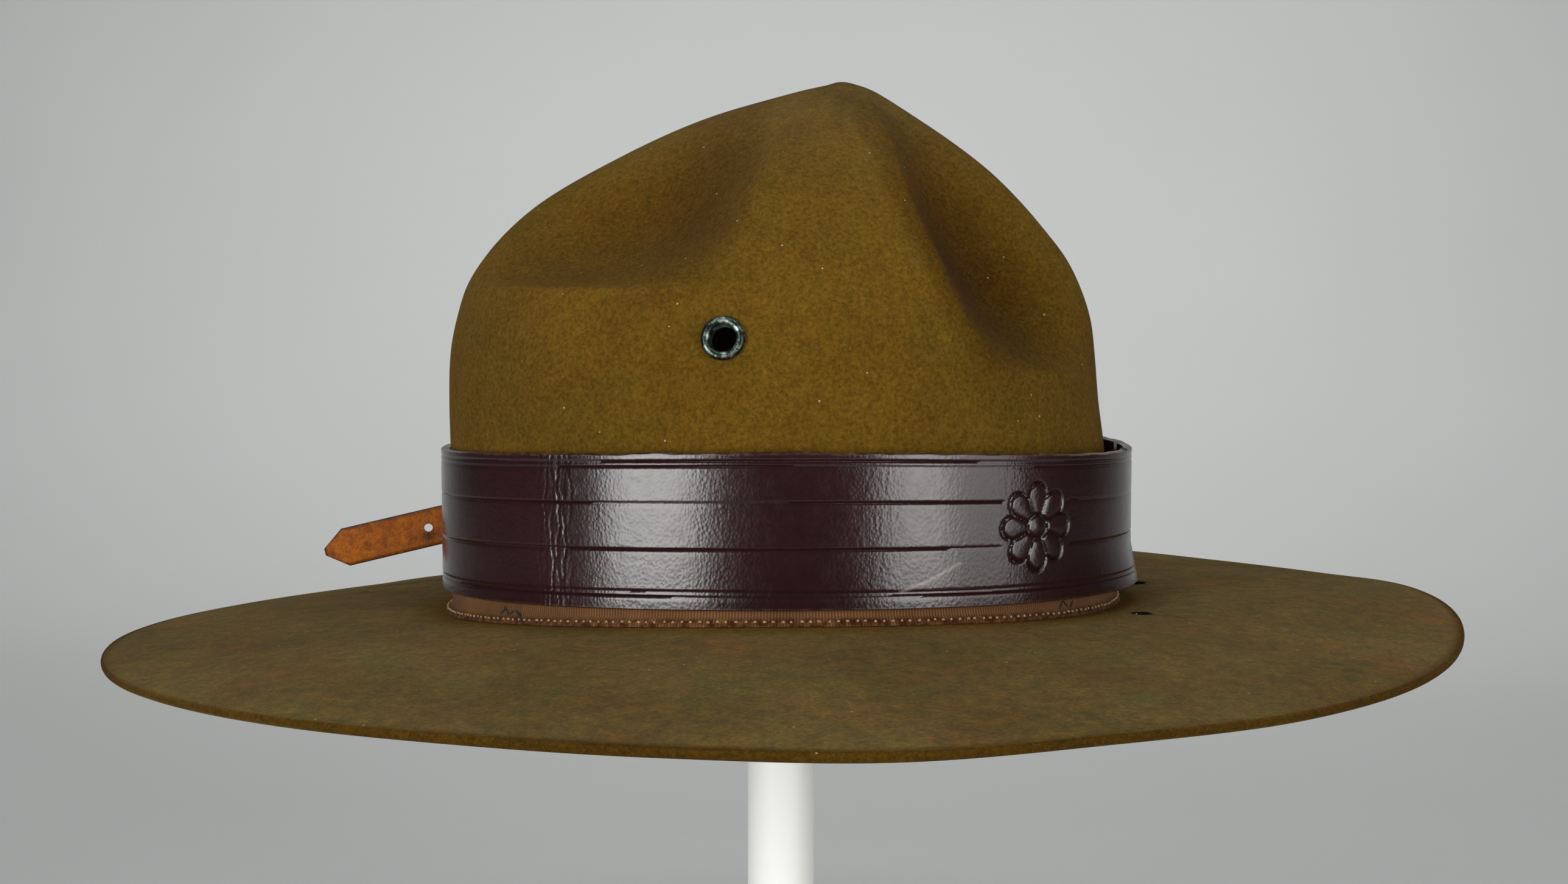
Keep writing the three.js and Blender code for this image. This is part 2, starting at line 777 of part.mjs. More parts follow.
function postGeometry() {
  const foot = baseThickness + collarHeight - socketDepth + clearance;
  return uprightLathe([[0, foot], [postDiameter / 2, foot], [postDiameter / 2, postTop], [0, postTop]]);
}

function baseGeometry() {
  const radius = baseDiameter / 2;
  const chamfer = baseThickness / 4;
  const top = baseThickness + collarHeight;
  return uprightLathe([
    [0, 0],
    [radius, 0],
    [radius, baseThickness - chamfer],
    [radius - chamfer, baseThickness],
    [collarDiameter / 2, baseThickness],
    [collarDiameter / 2, top - chamfer / 2],
    [collarDiameter / 2 - chamfer / 2, top],
    [socketRadius, top],
    [socketRadius, top - socketDepth],
    [0, top - socketDepth],
  ]);
}

function uprightLathe(profile) {
  const points = profile.map(([radius, height]) => new THREE.Vector2(radius, height));
  const geometry = new THREE.LatheGeometry(points, roundSides);
  geometry.rotateX(Math.PI / 2);
  return geometry;
}

const colours = {
  felt: { color: 0x68501e, roughness: 0.95, metalness: 0 },
  grosgrain: { color: 0x553c23, roughness: 0.85, metalness: 0 },
  bandLeather: { color: 0x2f1315, roughness: 0.35, metalness: 0 },
  russetLeather: { color: 0x7e481b, roughness: 0.55, metalness: 0 },
  eyeletMetal: { color: 0x2c332f, roughness: 0.3, metalness: 0.9 },
  buckleMetal: { color: 0x8a7440, roughness: 0.35, metalness: 1 },
  whitePlastic: { color: 0xe4e6df, roughness: 0.45, metalness: 0 },
};

const group = new THREE.Group();

function addPiece(name, geometry, look) {
  const mesh = new THREE.Mesh(geometry, new THREE.MeshStandardMaterial(colours[look]));
  mesh.name = name;
  group.add(mesh);
  return mesh;
}

addPiece('felt_body', feltBody(), 'felt');
addPiece('ribbon', ribbonGeometry(), 'grosgrain');
addPiece('leather_band', bandGeometry(), 'bandLeather');
addPiece('billet_strap', strapGeometry(), 'russetLeather');
addPiece('buckle', buckleGeometry(), 'buckleMetal');
addPiece('buckle_tab', tabGeometry(), 'russetLeather');
for (const { name, seat } of vents) {
  const eyelet = addPiece(name, eyeletGeometry(), 'eyeletMetal');
  eyelet.position.copy(seat.point);
  eyelet.quaternion.setFromUnitVectors(new THREE.Vector3(0, 1, 0), seat.direction);
}
addPiece('stand_post', postGeometry(), 'whitePlastic');
addPiece('stand_cap', capGeometry(), 'whitePlastic');
addPiece('stand_base', baseGeometry(), 'whitePlastic');

export default group;
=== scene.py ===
"""Looks of a felt campaign hat on a plain white stand, built around its solids.

Metres in the scene, +Z up, the front of the hat along +X, the floor at z = 0.
The shape tables and the sizes below them are in millimetres, as on the maker's drawing.
"""

import math

import bpy
import numpy as np
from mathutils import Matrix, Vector


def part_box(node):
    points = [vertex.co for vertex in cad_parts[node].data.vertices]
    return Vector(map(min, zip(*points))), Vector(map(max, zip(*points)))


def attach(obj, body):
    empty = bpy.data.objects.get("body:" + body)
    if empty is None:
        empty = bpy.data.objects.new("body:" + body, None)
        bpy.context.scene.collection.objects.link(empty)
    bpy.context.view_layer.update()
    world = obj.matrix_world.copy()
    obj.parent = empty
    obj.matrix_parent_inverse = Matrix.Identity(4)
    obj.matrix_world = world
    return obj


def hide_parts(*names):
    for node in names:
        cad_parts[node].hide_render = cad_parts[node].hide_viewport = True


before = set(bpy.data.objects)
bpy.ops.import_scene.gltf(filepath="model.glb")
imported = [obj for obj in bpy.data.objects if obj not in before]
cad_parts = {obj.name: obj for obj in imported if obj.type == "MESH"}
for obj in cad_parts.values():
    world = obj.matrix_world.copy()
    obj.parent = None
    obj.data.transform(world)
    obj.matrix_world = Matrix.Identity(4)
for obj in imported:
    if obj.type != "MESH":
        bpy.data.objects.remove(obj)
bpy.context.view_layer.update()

bl_info = {
    "name": "Campaign hat on a stand",
    "version": (1, 0, 0),
    "blender": (4, 5, 0),
    "location": "View3D > Sidebar > Campaign hat",
    "description": "Builds a felt campaign hat with its leather band on a white stand",
    "category": "Add Mesh",
}

MM = 0.001
BODY = "root"

# How the hat sits, and the felt
HAT_LEVEL = 170
CLEARANCE = 0.3
CROWN_PEAK = 180
CROWN_FRONT = 103
CROWN_REAR = 103.6
CROWN_SIDE = 84
CROWN_WALL = 2
FOOT_FRONT = 19.6
FOOT_REAR = 14
FOOT_SIDE = 22.4
FOOT_RADIUS = 4
BRIM_HALF_LENGTH = 208.6
BRIM_HALF_WIDTH = 189
BRIM_SETBACK = 1.2
BRIM_THICKNESS = 2.8
BRIM_ROUNDING = 1.1
BRIM_LIFT = 17.2
BRIM_BOW = 1.6
PEAK_FORWARD = 0.184
ARCH_TOP = 0.57
CROWN_FOOT = (FOOT_FRONT + FOOT_REAR) / 2 + FOOT_RADIUS

# Height of the brim's edge every 15 degrees from the front round the far side, as shares
BRIM_EDGE = np.array([
    0.99, 1.02, 0.86, 0.78, 0.77, 0.69, 0.56, 0.38, 0.22, 0.12, 0.09, 0.13,
    0.22, 0.31, 0.37, 0.475, 0.555, 0.62, 0.605, 0.56, 0.655, 0.655, 0.7, 0.81,
])

# Rings of the crown from its foot to its peak: up, front, rear and side shares
CROWN_RINGS = np.array([
    (0, 1, 0.998, 1),
    (0.134, 0.993, 1, 0.996),
    (0.27, 0.983, 1.011, 0.992),
    (0.377, 0.963, 1.015, 0.988),
    (0.468, 0.951, 1.01, 0.976),
    (0.54, 0.937, 0.991, 0.952),
    (0.604, 0.907, 0.959, 0.91),
    (0.66, 0.863, 0.9, 0.85),
    (0.717, 0.791, 0.817, 0.77),
    (0.774, 0.71, 0.712, 0.675),
    (0.83, 0.621, 0.576, 0.565),
    (0.887, 0.511, 0.4, 0.43),
    (0.938, 0.396, 0.2, 0.285),
    (0.977, 0.3, -0.015, 0.145),
    (0.993, 0.243, -0.128, 0.07),
    (1, PEAK_FORWARD, -PEAK_FORWARD * CROWN_FRONT / CROWN_REAR, 0),
])

# The two pairs of dents: angles from the front, and heights as shares of the way up
FRONT_DENT = {
    "edge": 53, "fade": 6, "low": 0.44, "high": 1,
    "swing_low": 11, "swing_high": 12, "deepest": 0.42, "floor": 0.36,
}
REAR_DENT = {
    "edge": 89, "fade": 168, "low": 0.6, "high": 0.99,
    "swing_low": -8, "swing_high": 4, "deepest": 0.4, "floor": 0.42,
}

# Vents and holes
VENT_ANGLE = 90.8
VENT_HEIGHT = 102.3
EYELET_BORE = 7.4
EYELET_RIM = 12.6
EYELET_INNER_RIM = 11
EYELET_SHEET = 0.7
EYELET_RIM_THICKNESS = 1.3
BRIM_HOLE_SIZE = 6
BRIM_HOLE_SPACING = 52
BRIM_HOLE_SETBACK = 11

# Ribbon, band, strap and buckle
RIBBON_WIDTH = 25
RIBBON_THICKNESS = 1
RIBBON_RISE = 0.4
BAND_HEIGHT = 44
BAND_HEIGHT_FRONT = 41.5
BAND_THICKNESS = 2.7
BAND_RISE = {"front": 2.3, "rear": 4.2, "side": 0.8}
BAND_STANDOFF = 2.4
BAND_FLARE = 2.4
BAND_FLARE_HEIGHT = 12
BAND_GAP = 10
CLOSURE_ANGLE = 114
STRAP_WIDTH = 13.5
STRAP_THICKNESS = 1.8
STRAP_SEWN = 42
STRAP_FREE = 118
STRAP_POINT = 7
STRAP_SETTLE = 12
STRAP_DROOP = 0.222
STRAP_FLARE = 0.13
STRAP_HOLE = 3
STRAP_HOLE_PITCH = 21
BUCKLE_BAR = 2.2
BUCKLE_LENGTH = 22.2

# Stand
POST_DIAMETER = 21.3
CAP_DIAMETER = 40
CAP_DOME = 7
BASE_DIAMETER = 200
BASE_THICKNESS = 6
COLLAR_DIAMETER = 34
COLLAR_HEIGHT = 18
SOCKET_DEPTH = 14

# The camera, found by fitting the hat's outline
CAMERA_DISTANCE = 649.5
CAMERA_HEIGHT = 287.1
CAMERA_AZIMUTH = 8.1
CAMERA_PITCH = 4.37
CAMERA_YAW = 0.086
CAMERA_LENS = 47.23
CAMERA_SENSOR = 36


# Shape of the felt

def hermite(values, place, end_slope=None):
    """A smooth curve through evenly numbered values, read at fractional places."""
    values = np.asarray(values, float)
    slopes = np.gradient(values)
    if end_slope is not None:
        slopes[-1] = end_slope
    index = np.clip(np.floor(place).astype(int), 0, len(values) - 2)
    t = place - index
    a, b, m, n = values[index], values[index + 1], slopes[index], slopes[index + 1]
    return a + t * (m + t * (3 * (b - a) - 2 * m - n + t * (2 * (a - b) + m + n)))


def smoothstep(value, low, high):
    t = np.clip((value - low) / (high - low), 0, 1)
    return t * t * (3 - 2 * t)


def points_of(x, y, z):
    return np.stack(np.broadcast_arrays(x, y, z), axis=-1)


def oval(front, rear, side, turn):
    x = (front - rear) / 2 + (front + rear) / 2 * np.cos(turn)
    return x, side * np.sin(turn)


def around(turn, front, rear, side):
    """Goes smoothly round the hat through its values at the front, rear and sides."""
    cosine = np.cos(turn)
    middle = (front + rear) / 2
    return middle + (front - rear) / 2 * cosine + (side - middle) * (1 - cosine**2)


def foot_level(turn):
    return HAT_LEVEL + around(turn, FOOT_FRONT, FOOT_REAR, FOOT_SIDE)


def edge_height(turn):
    count = len(BRIM_EDGE)
    place = np.mod(turn / math.tau * count, count)
    index = np.floor(place).astype(int)
    t = place - index
    before, here, after, later = (BRIM_EDGE[(index + k) % count] for k in (-1, 0, 1, 2))
    bend = before - 2.5 * here + 2 * after - 0.5 * later
    twist = 1.5 * (here - after) + 0.5 * (later - before)
    return BRIM_LIFT * (here + t * ((after - before) / 2 + t * (bend + t * twist)))


RING_COUNT = len(CROWN_RINGS) - 1
FINE_PLACES = np.linspace(0, RING_COUNT, 600)
FINE_UP = hermite(CROWN_RINGS[:, 0], FINE_PLACES, 0)


def crown(turn, place):
    """Points of the undented crown. place counts rings from the foot."""
    up = hermite(CROWN_RINGS[:, 0], place, 0)
    front, rear, side = (hermite(CROWN_RINGS[:, k], place) for k in (1, 2, 3))
    x, y = oval(front * CROWN_FRONT, rear * CROWN_REAR, side * CROWN_SIDE, turn)
    arch = foot_level(turn) + FOOT_RADIUS - HAT_LEVEL - CROWN_FOOT
    level = CROWN_FOOT + (CROWN_PEAK - CROWN_FOOT) * up
    return points_of(x, y, HAT_LEVEL + level + arch * (1 - smoothstep(up, 0, ARCH_TOP)))


def foot(turn, reach, lift):
    x, y = oval(CROWN_FRONT + reach, CROWN_REAR * CROWN_RINGS[0, 2] + reach,
                CROWN_SIDE + reach, turn)
    return points_of(x, y, foot_level(turn) + lift)


def edge(turn, inset):
    x, y = oval(BRIM_HALF_LENGTH - BRIM_SETBACK - inset,
                BRIM_HALF_LENGTH + BRIM_SETBACK - inset, BRIM_HALF_WIDTH - inset, turn)
    return points_of(x, y, HAT_LEVEL + edge_height(turn))


def brim(turn, share):
    inner = foot(turn, FOOT_RADIUS, 0)
    tip = edge(turn, BRIM_ROUNDING)
    tip[..., 2] += BRIM_THICKNESS / 2
    share = np.asarray(share, float)
    points = inner + (tip - inner) * share[..., None]
    points[..., 2] += BRIM_BOW * 4 * share * (1 - share)
    return points


def dent_rise(share, deepest):
    """Rises at once from 0, is 1 at the deepest place, and runs out softly to 0."""
    rising = 1 - (1 - share / deepest) ** 2
    falling = 0.5 + 0.5 * np.cos(math.pi * (share - deepest) / (1 - deepest))
    return np.where(share < deepest, rising, falling)


def dent_depth(turn, height, depths):
    angle = np.abs(np.mod(np.degrees(turn) + 180, 360) - 180)
    level = (height - HAT_LEVEL - CROWN_FOOT) / (CROWN_PEAK - CROWN_FOOT)
    total = np.zeros(np.broadcast(angle, level).shape)
    for dent, depth in zip((FRONT_DENT, REAR_DENT), depths):
        up = (level - dent["low"]) / (dent["high"] - dent["low"])
        swing = np.where(up < 0.5, dent["swing_low"], dent["swing_high"]) * (2 * up - 1) ** 2
        crisp = dent["edge"] - swing
        across = (angle - crisp) / (dent["fade"] - crisp)
        inside = (up > 0) & (up < 1) & (across > 0) & (across < 1)
        shape = dent_rise(across, dent["deepest"]) * dent_rise(up, dent["floor"])
        total += np.where(inside, depth * shape, 0)
    return total


def grid_normals(grid):
    """Directions square to a grid that is closed round its columns."""
    along = np.roll(grid, -1, axis=1) - np.roll(grid, 1, axis=1)
    rows = np.arange(len(grid))
    across = grid[np.minimum(rows + 1, len(grid) - 1)] - grid[np.maximum(rows - 1, 0)]
    square = np.cross(along, across)
    length = np.linalg.norm(square, axis=-1, keepdims=True)
    return np.where(length > 1e-9, square / np.maximum(length, 1e-9), (0.0, 0.0, 1.0))


def turns_of(columns):
    return np.arange(columns) * math.tau / columns


def closed_round(grid):
    return np.concatenate([grid, grid[:, :1]], axis=1)


def soft_waves(points, size, seed):
    """Gentle unevenness from a few crossing waves, between about -1 and 1."""
    draw = np.random.default_rng(seed)
    total = np.zeros(points.shape[:-1])
    count = 14
    for _ in range(count):
        direction = draw.normal(size=3)
        direction /= np.linalg.norm(direction) * size * draw.uniform(0.7, 1.6)
        total += np.sin(math.tau * points @ direction + draw.uniform(0, math.tau))
    return total / math.sqrt(count)


def felt_grids(columns, crown_rows, brim_rows, depths, unevenness):
    """The felt's upper and lower surfaces, from the brim's edge to the peak."""
    turn = turns_of(columns)[None, :]
    shares = np.linspace(1, 0, brim_rows)[:, None]
    rounding = np.radians(np.linspace(0, 90, 8))[1:-1, None]
    places = np.linspace(0, RING_COUNT, crown_rows)[:, None]
    lower = foot(turn, FOOT_RADIUS * (1 - np.sin(rounding)), FOOT_RADIUS * (1 - np.cos(rounding)))
    smooth = np.concatenate([brim(turn, shares), lower, crown(turn, places)])
    on_crown = np.arange(len(smooth))[:, None] >= brim_rows + len(rounding)
    normals = grid_normals(smooth)
    sunk = np.where(on_crown, dent_depth(turn, smooth[..., 2], depths), 0)
    upper = smooth - normals * sunk[..., None]
    free = np.concatenate([
        smoothstep(shares, 0.15, 0.7) * (1 - smoothstep(shares, 0.9, 1)),
        np.zeros((len(rounding), 1)),
        smoothstep(places, 3, 6) * (1 - smoothstep(places, RING_COUNT - 1, RING_COUNT)),
    ])
    uneven = unevenness * soft_waves(upper, 60, 4) * free
    upper = upper + grid_normals(upper) * uneven[..., None]
    upper[-1] = upper[-1, :1]
    thickness = np.concatenate([
        CROWN_WALL + (BRIM_THICKNESS - CROWN_WALL) * smoothstep(shares, 0.02, 0.14),
        np.full((len(rounding) + crown_rows, 1), CROWN_WALL),
    ])
    under = upper - grid_normals(upper) * thickness[..., None]
    under[-1] = under[-1, :1]
    return upper, under


def brim_edge_rows(upper, under, turn, count):
    """The rounded edge that joins the brim's upper and lower surfaces."""
    middle = (upper + under) / 2
    across = upper - middle
    out = edge(turn, 0) - middle
    out[..., 2] = 0
    steps = np.linspace(0, math.pi, count + 2)[1:-1, None, None]
    fullness = 0.8
    return middle + across * np.cos(steps) + out * np.sin(steps) ** fullness


def wall_points(turn, lift):
    """Points of the felt's outer wall at a lift above the brim, round the crown's foot."""
    up = np.clip((lift - FOOT_RADIUS) / (CROWN_PEAK - CROWN_FOOT), 0, None)
    for _ in range(6):
        place = np.interp(up, FINE_UP, FINE_PLACES)
        reached = crown(turn, place)[..., 2] - foot_level(turn)
        up = np.clip(up + (lift - reached) / (CROWN_PEAK - CROWN_FOOT), 0, None)
    on_wall = crown(turn, np.interp(up, FINE_UP, FINE_PLACES))
    angle = np.arccos(np.clip(1 - lift / FOOT_RADIUS, 0, 1))
    on_foot = foot(turn, FOOT_RADIUS * (1 - np.sin(angle)), lift)
    return np.where((lift < FOOT_RADIUS)[..., None], on_foot, on_wall)


def seat_on_crown(angle, height):
    """Place and outward direction of the crown's wall at an angle and height, in millimetres."""
    step = 0.01
    turn = math.radians(angle)

    def at(this_turn, this_height):
        lift = np.array([this_height]) - foot_level(this_turn)
        return wall_points(np.array([this_turn]), lift)[0]

    point = at(turn, height)
    along = at(turn + step, height) - at(turn - step, height)
    above = at(turn, height + 1) - at(turn, height - 1)
    direction = np.cross(along, above)
    return point, direction / np.linalg.norm(direction)


def brim_hole_place(side):
    reach = FOOT_RADIUS + BRIM_HOLE_SETBACK
    turn = side * BRIM_HOLE_SPACING / 2 / CROWN_SIDE
    centre = foot(turn, reach, 0)
    centre[2] = brim(turn, reach / (BRIM_HALF_LENGTH - CROWN_FRONT))[2]
    return centre


# Shape of the band, strap and what holds them

def band_reach(reach, column):
    over_ribbon = RIBBON_THICKNESS + CLEARANCE
    rings = CROWN_RINGS[:3, column]
    return max(reach * ring + CLEARANCE + (over_ribbon if row < 2 else 0)
               for row, ring in enumerate(rings))


BAND_INSIDE = {
    "front": band_reach(CROWN_FRONT, 1) + BAND_STANDOFF,
    "rear": band_reach(CROWN_REAR, 2),
    "side": band_reach(CROWN_SIDE, 3),
}


def band_points(turn, offset, height):
    front, rear, side = BAND_INSIDE["front"], BAND_INSIDE["rear"], BAND_INSIDE["side"]
    x, y = oval(front, rear, side, turn)
    out_x = (x - (front - rear) / 2) / ((front + rear) / 2) ** 2
    out_y = y / side**2
    length = np.hypot(out_x, out_y)
    rise = around(turn, BAND_RISE["front"], BAND_RISE["rear"], BAND_RISE["side"])
    z = foot_level(turn) + FOOT_RADIUS + rise + height
    return points_of(x + out_x / length * offset, y + out_y / length * offset, z)


# Turns and distances along the band's outside, from the middle of the closure
BAND_TURNS = np.radians(CLOSURE_ANGLE) + np.linspace(-math.tau, math.tau, 14401)
_around = band_points(BAND_TURNS, BAND_THICKNESS, 0)[:, :2]
_steps = np.linalg.norm(np.diff(_around, axis=0), axis=1)
BAND_DISTANCES = np.concatenate([[0], np.cumsum(_steps)])
BAND_DISTANCES -= np.interp(np.radians(CLOSURE_ANGLE), BAND_TURNS, BAND_DISTANCES)
BAND_ROUND = float(np.interp(math.radians(CLOSURE_ANGLE) + math.tau, BAND_TURNS, BAND_DISTANCES))


def turn_along(distance):
    return np.interp(distance, BAND_DISTANCES, BAND_TURNS)


def distance_at(angle):
    """Distance along the band at an angle in degrees from the front, past the closure."""
    return float(np.interp(math.radians(angle), BAND_TURNS, BAND_DISTANCES))


def along_band(distance, offset, rise):
    return band_points(turn_along(distance), BAND_THICKNESS + offset, BAND_HEIGHT / 2 + rise)


STRAP_LOW = CLEARANCE + STRAP_THICKNESS / 2
BAR_LOW = CLEARANCE + STRAP_THICKNESS + CLEARANCE
TAB_TOP = BAR_LOW + BUCKLE_BAR + CLEARANCE + STRAP_THICKNESS
STRAP_HIGH = TAB_TOP + CLEARANCE + STRAP_THICKNESS / 2
BAR_REACH = (BUCKLE_LENGTH - BUCKLE_BAR) / 2
STRAP_LEAVE = BAR_REACH + BUCKLE_BAR
STRAP_END = BAR_REACH + STRAP_FREE
STRAP_START = -BUCKLE_LENGTH / 2 - CLEARANCE - BAND_GAP - STRAP_SEWN


def strap_centre(distance):
    """Middle line of the strap: sewn on, under the front bar, over the tab, then out and down."""
    rise_start = -BAR_REACH + BUCKLE_BAR / 2
    rise_end = BAR_REACH - BUCKLE_BAR / 2 - CLEARANCE - STRAP_THICKNESS * 1.6
    held = np.minimum(distance, STRAP_LEAVE)
    lift = smoothstep(held, rise_start, rise_end)
    points = along_band(held, STRAP_LOW + (STRAP_HIGH - STRAP_LOW) * lift, 0)
    ends = along_band(np.array([STRAP_LEAVE - 1, STRAP_LEAVE]), STRAP_HIGH, 0)
    heading = ends[1] - ends[0]
    heading[2] = 0
    heading /= np.linalg.norm(heading)
    outward = np.array([heading[1], -heading[0], 0])
    free = np.maximum(distance - STRAP_LEAVE, 0)
    points = points + free[..., None] * (heading + outward * STRAP_FLARE)
    points[..., 2] -= STRAP_DROOP * (np.hypot(free, STRAP_POINT) - STRAP_POINT)
    return points


def strap_frame(distance):
    heading = strap_centre(distance + 0.5) - strap_centre(distance - 0.5)
    heading /= np.linalg.norm(heading, axis=-1, keepdims=True)
    outward = points_of(heading[..., 1], -heading[..., 0], 0)
    outward /= np.linalg.norm(outward, axis=-1, keepdims=True)
    upward = np.cross(outward, heading)
    return outward, upward / np.linalg.norm(upward, axis=-1, keepdims=True)


def strap_half_width(distance):
    share = np.clip((STRAP_END - distance) / STRAP_POINT, 0, 1)
    return STRAP_WIDTH / 2 * (0.18 + 0.82 * share)


# Tools of the bench: selection, grids, turned pieces, holes

def select_only(obj):
    for other in bpy.context.selected_objects:
        other.select_set(False)
    if obj is not None:
        obj.select_set(True)
        bpy.context.view_layer.objects.active = obj


def in_edit_mode(obj, *steps):
    """Runs mesh operators on all of a piece in edit mode."""
    select_only(obj)
    bpy.ops.object.mode_set(mode="EDIT")
    for operator, settings in steps:
        bpy.ops.mesh.select_all(action="SELECT")
        operator(**settings)
    bpy.ops.object.mode_set(mode="OBJECT")


def grid_piece(name, points, uvs, open_ends=False):
    """A primitive grid whose vertices are laid on points, then closed where it meets itself."""
    rows, columns = points.shape[:2]
    select_only(None)
    bpy.ops.mesh.primitive_grid_add(x_subdivisions=columns - 1, y_subdivisions=rows - 1, size=1)
    piece = bpy.context.object
    piece.name = piece.data.name = name
    mesh = piece.data
    if len(mesh.vertices) != rows * columns:
        raise RuntimeError(f"{name}: the grid has {len(mesh.vertices)} points")
    places = np.empty(len(mesh.vertices) * 3)
    mesh.vertices.foreach_get("co", places)
    places = places.reshape(-1, 3)
    column = np.rint((places[:, 0] + 0.5) * (columns - 1)).astype(int)
    row = np.rint((places[:, 1] + 0.5) * (rows - 1)).astype(int)
    mesh.vertices.foreach_set("co", (points[row, column] * MM).astype(np.float32).ravel())
    corner = np.empty(len(mesh.loops), np.int32)
    mesh.loops.foreach_get("vertex_index", corner)
    laid = uvs[row[corner], column[corner]] * MM
    mesh.uv_layers.active.data.foreach_set("uv", laid.astype(np.float32).ravel())
    steps = [(bpy.ops.mesh.remove_doubles, {"threshold": 1e-6})]
    if open_ends:
        steps.append((bpy.ops.mesh.fill_holes, {"sides": 0}))
    steps.append((bpy.ops.mesh.normals_make_consistent, {"inside": False}))
    in_edit_mode(piece, *steps)
    return piece


def turned_piece(name, profile, sides):
    """A profile of (radius, height) in millimetres, spun round the upright axis."""
    mesh = bpy.data.meshes.new(name)
    corners = [(radius * MM, 0, height * MM) for radius, height in profile]
    mesh.from_pydata(corners, [(k, k + 1) for k in range(len(corners) - 1)], [])
    piece = bpy.data.objects.new(name, mesh)
    bpy.context.scene.collection.objects.link(piece)
    in_edit_mode(
        piece,
        (bpy.ops.mesh.spin, {"steps": sides, "angle": math.tau, "center": (0, 0, 0),
                             "axis": (0, 0, 1), "use_auto_merge": True}),
        (bpy.ops.mesh.remove_doubles, {"threshold": 1e-6}),
        (bpy.ops.mesh.normals_make_consistent, {"inside": False}),
    )
    return piece


def stand_on(piece, point, direction):
    """Puts a piece made upright at the origin onto a point, along a direction, for good."""
    turn = Vector((0, 0, 1)).rotation_difference(Vector(direction)).to_matrix().to_4x4()
    turn.translation = Vector(point) * MM
    piece.data.transform(turn)


def drill(piece, diameter, depth, centre, direction):
    select_only(None)
    bpy.ops.mesh.primitive_cylinder_add(vertices=40, radius=diameter / 2 * MM, depth=depth * MM)
    cutter = bpy.context.object
    stand_on(cutter, centre, direction)
    finish_with(piece, "BOOLEAN", operation="DIFFERENCE", solver="EXACT", object=cutter)
    bpy.data.objects.remove(cutter)


def finish_with(piece, kind, **settings):
    """Adds a modifier to a piece and applies it."""
    select_only(piece)
    modifier = piece.modifiers.new(kind.lower(), kind)
    for key, value in settings.items():
        setattr(modifier, key, value)
    bpy.ops.object.modifier_apply(modifier=modifier.name)


def smooth(piece, angle=180):
    select_only(piece)
    if angle >= 180:
        bpy.ops.object.shade_smooth()
    else:
        bpy.ops.object.shade_smooth_by_angle(angle=math.radians(angle))


def softened_copy(node, name, edge_width):
    """A merged copy of a solid with its edges worn round. Its form stays."""
    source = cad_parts[node]
    piece = bpy.data.objects.new(name, source.data.copy())
    piece.data.materials.clear()
    bpy.context.scene.collection.objects.link(piece)
    in_edit_mode(
        piece,
        (bpy.ops.mesh.remove_doubles, {"threshold": 1e-5}),
        (bpy.ops.mesh.tris_convert_to_quads, {}),
    )
    finish_with(piece, "BEVEL", width=edge_width * MM, segments=3, limit_method="ANGLE",
                angle_limit=math.radians(40))
    smooth(piece, 40)
    return piece


def place(piece, slot, *nodes):
    """Gives a finished piece to the hat, with the solids that it stands for."""
    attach(piece, BODY)
    if nodes:
        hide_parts(*nodes)


# Finishes

class Finish:
    """A node material under construction."""

    def __init__(self, name, **sockets):
        self.material = bpy.data.materials.new(name)
        self.material.use_nodes = True
        self.tree = self.material.node_tree
        self.shader = self.tree.nodes["Principled BSDF"]
        for socket, value in sockets.items():
            self.shader.inputs[socket.replace("_", " ")].default_value = value

    def node(self, kind, settings=None, **inputs):
        node = self.tree.nodes.new("ShaderNode" + kind)
        for key, value in (settings or {}).items():
            setattr(node, key, value)
        for socket, value in inputs.items():
            self.feed(node, socket.replace("_", " "), value)
        return node

    def feed(self, node, socket, value):
        if isinstance(value, bpy.types.NodeSocket):
            self.tree.links.new(value, node.inputs[socket])
        else:
            node.inputs[socket].default_value = value

    def place(self):
        return self.node("TexCoord").outputs["Object"]

    def uv(self):
        return self.node("UVMap", {"uv_map": "UVMap"}).outputs["UV"]

    def stretched(self, vector, scale):
        return self.node("Mapping", Vector=vector, Scale=scale).outputs["Vector"]

    def noise(self, vector, scale, detail=3.0, roughness=0.5, distortion=0.0):
        return self.node("TexNoise", Vector=vector, Scale=scale, Detail=detail,
                         Roughness=roughness, Distortion=distortion).outputs["Fac"]

    def cells(self, vector, scale, feature="F1"):
        return self.node("TexVoronoi", {"feature": feature}, Vector=vector,
                         Scale=scale).outputs["Distance"]

    def span(self, value, low, high, start=0.0, end=1.0):
        """Maps low..high onto start..end, and stops there."""
        node = self.node("MapRange", Value=value)
        for socket, number in (("From Min", low), ("From Max", high),
                               ("To Min", start), ("To Max", end)):
            node.inputs[socket].default_value = number
        return node.outputs["Result"]

    def sum(self, operation, first, second):
        node = self.node("Math", {"operation": operation})
        self.feed(node, 0, first)
        self.feed(node, 1, second)
        return node.outputs[0]

    def mix(self, share, first, second, blend="MIX"):
        node = self.node("Mix", {"data_type": "RGBA", "blend_type": blend})
        self.feed(node, "Factor", share)
        self.feed(node, 6, first)
        self.feed(node, 7, second)
        return node.outputs[2]

    def tinted(self, colour, shares):
        return self.mix(1.0, colour, rgba(shares), "MULTIPLY")

    def stored(self, name):
        return self.node("Attribute", {"attribute_name": name}).outputs["Fac"]

    def split(self, vector):
        return self.node("SeparateXYZ", Vector=vector).outputs

    def colour(self, socket):
        self.feed(self.shader, "Base Color", socket)

    def roughness(self, socket):
        self.feed(self.shader, "Roughness", socket)

    def bump(self, height, distance, strength=1.0, under=None):
        node = self.node("Bump", Height=height, Distance=distance, Strength=strength)
        if under is not None:
            self.feed(node, "Normal", under)
        self.feed(self.shader, "Normal", node.outputs["Normal"])
        return node.outputs["Normal"]


def rgba(colour, shade=1.0):
    return (colour[0] * shade, colour[1] * shade, colour[2] * shade, 1)


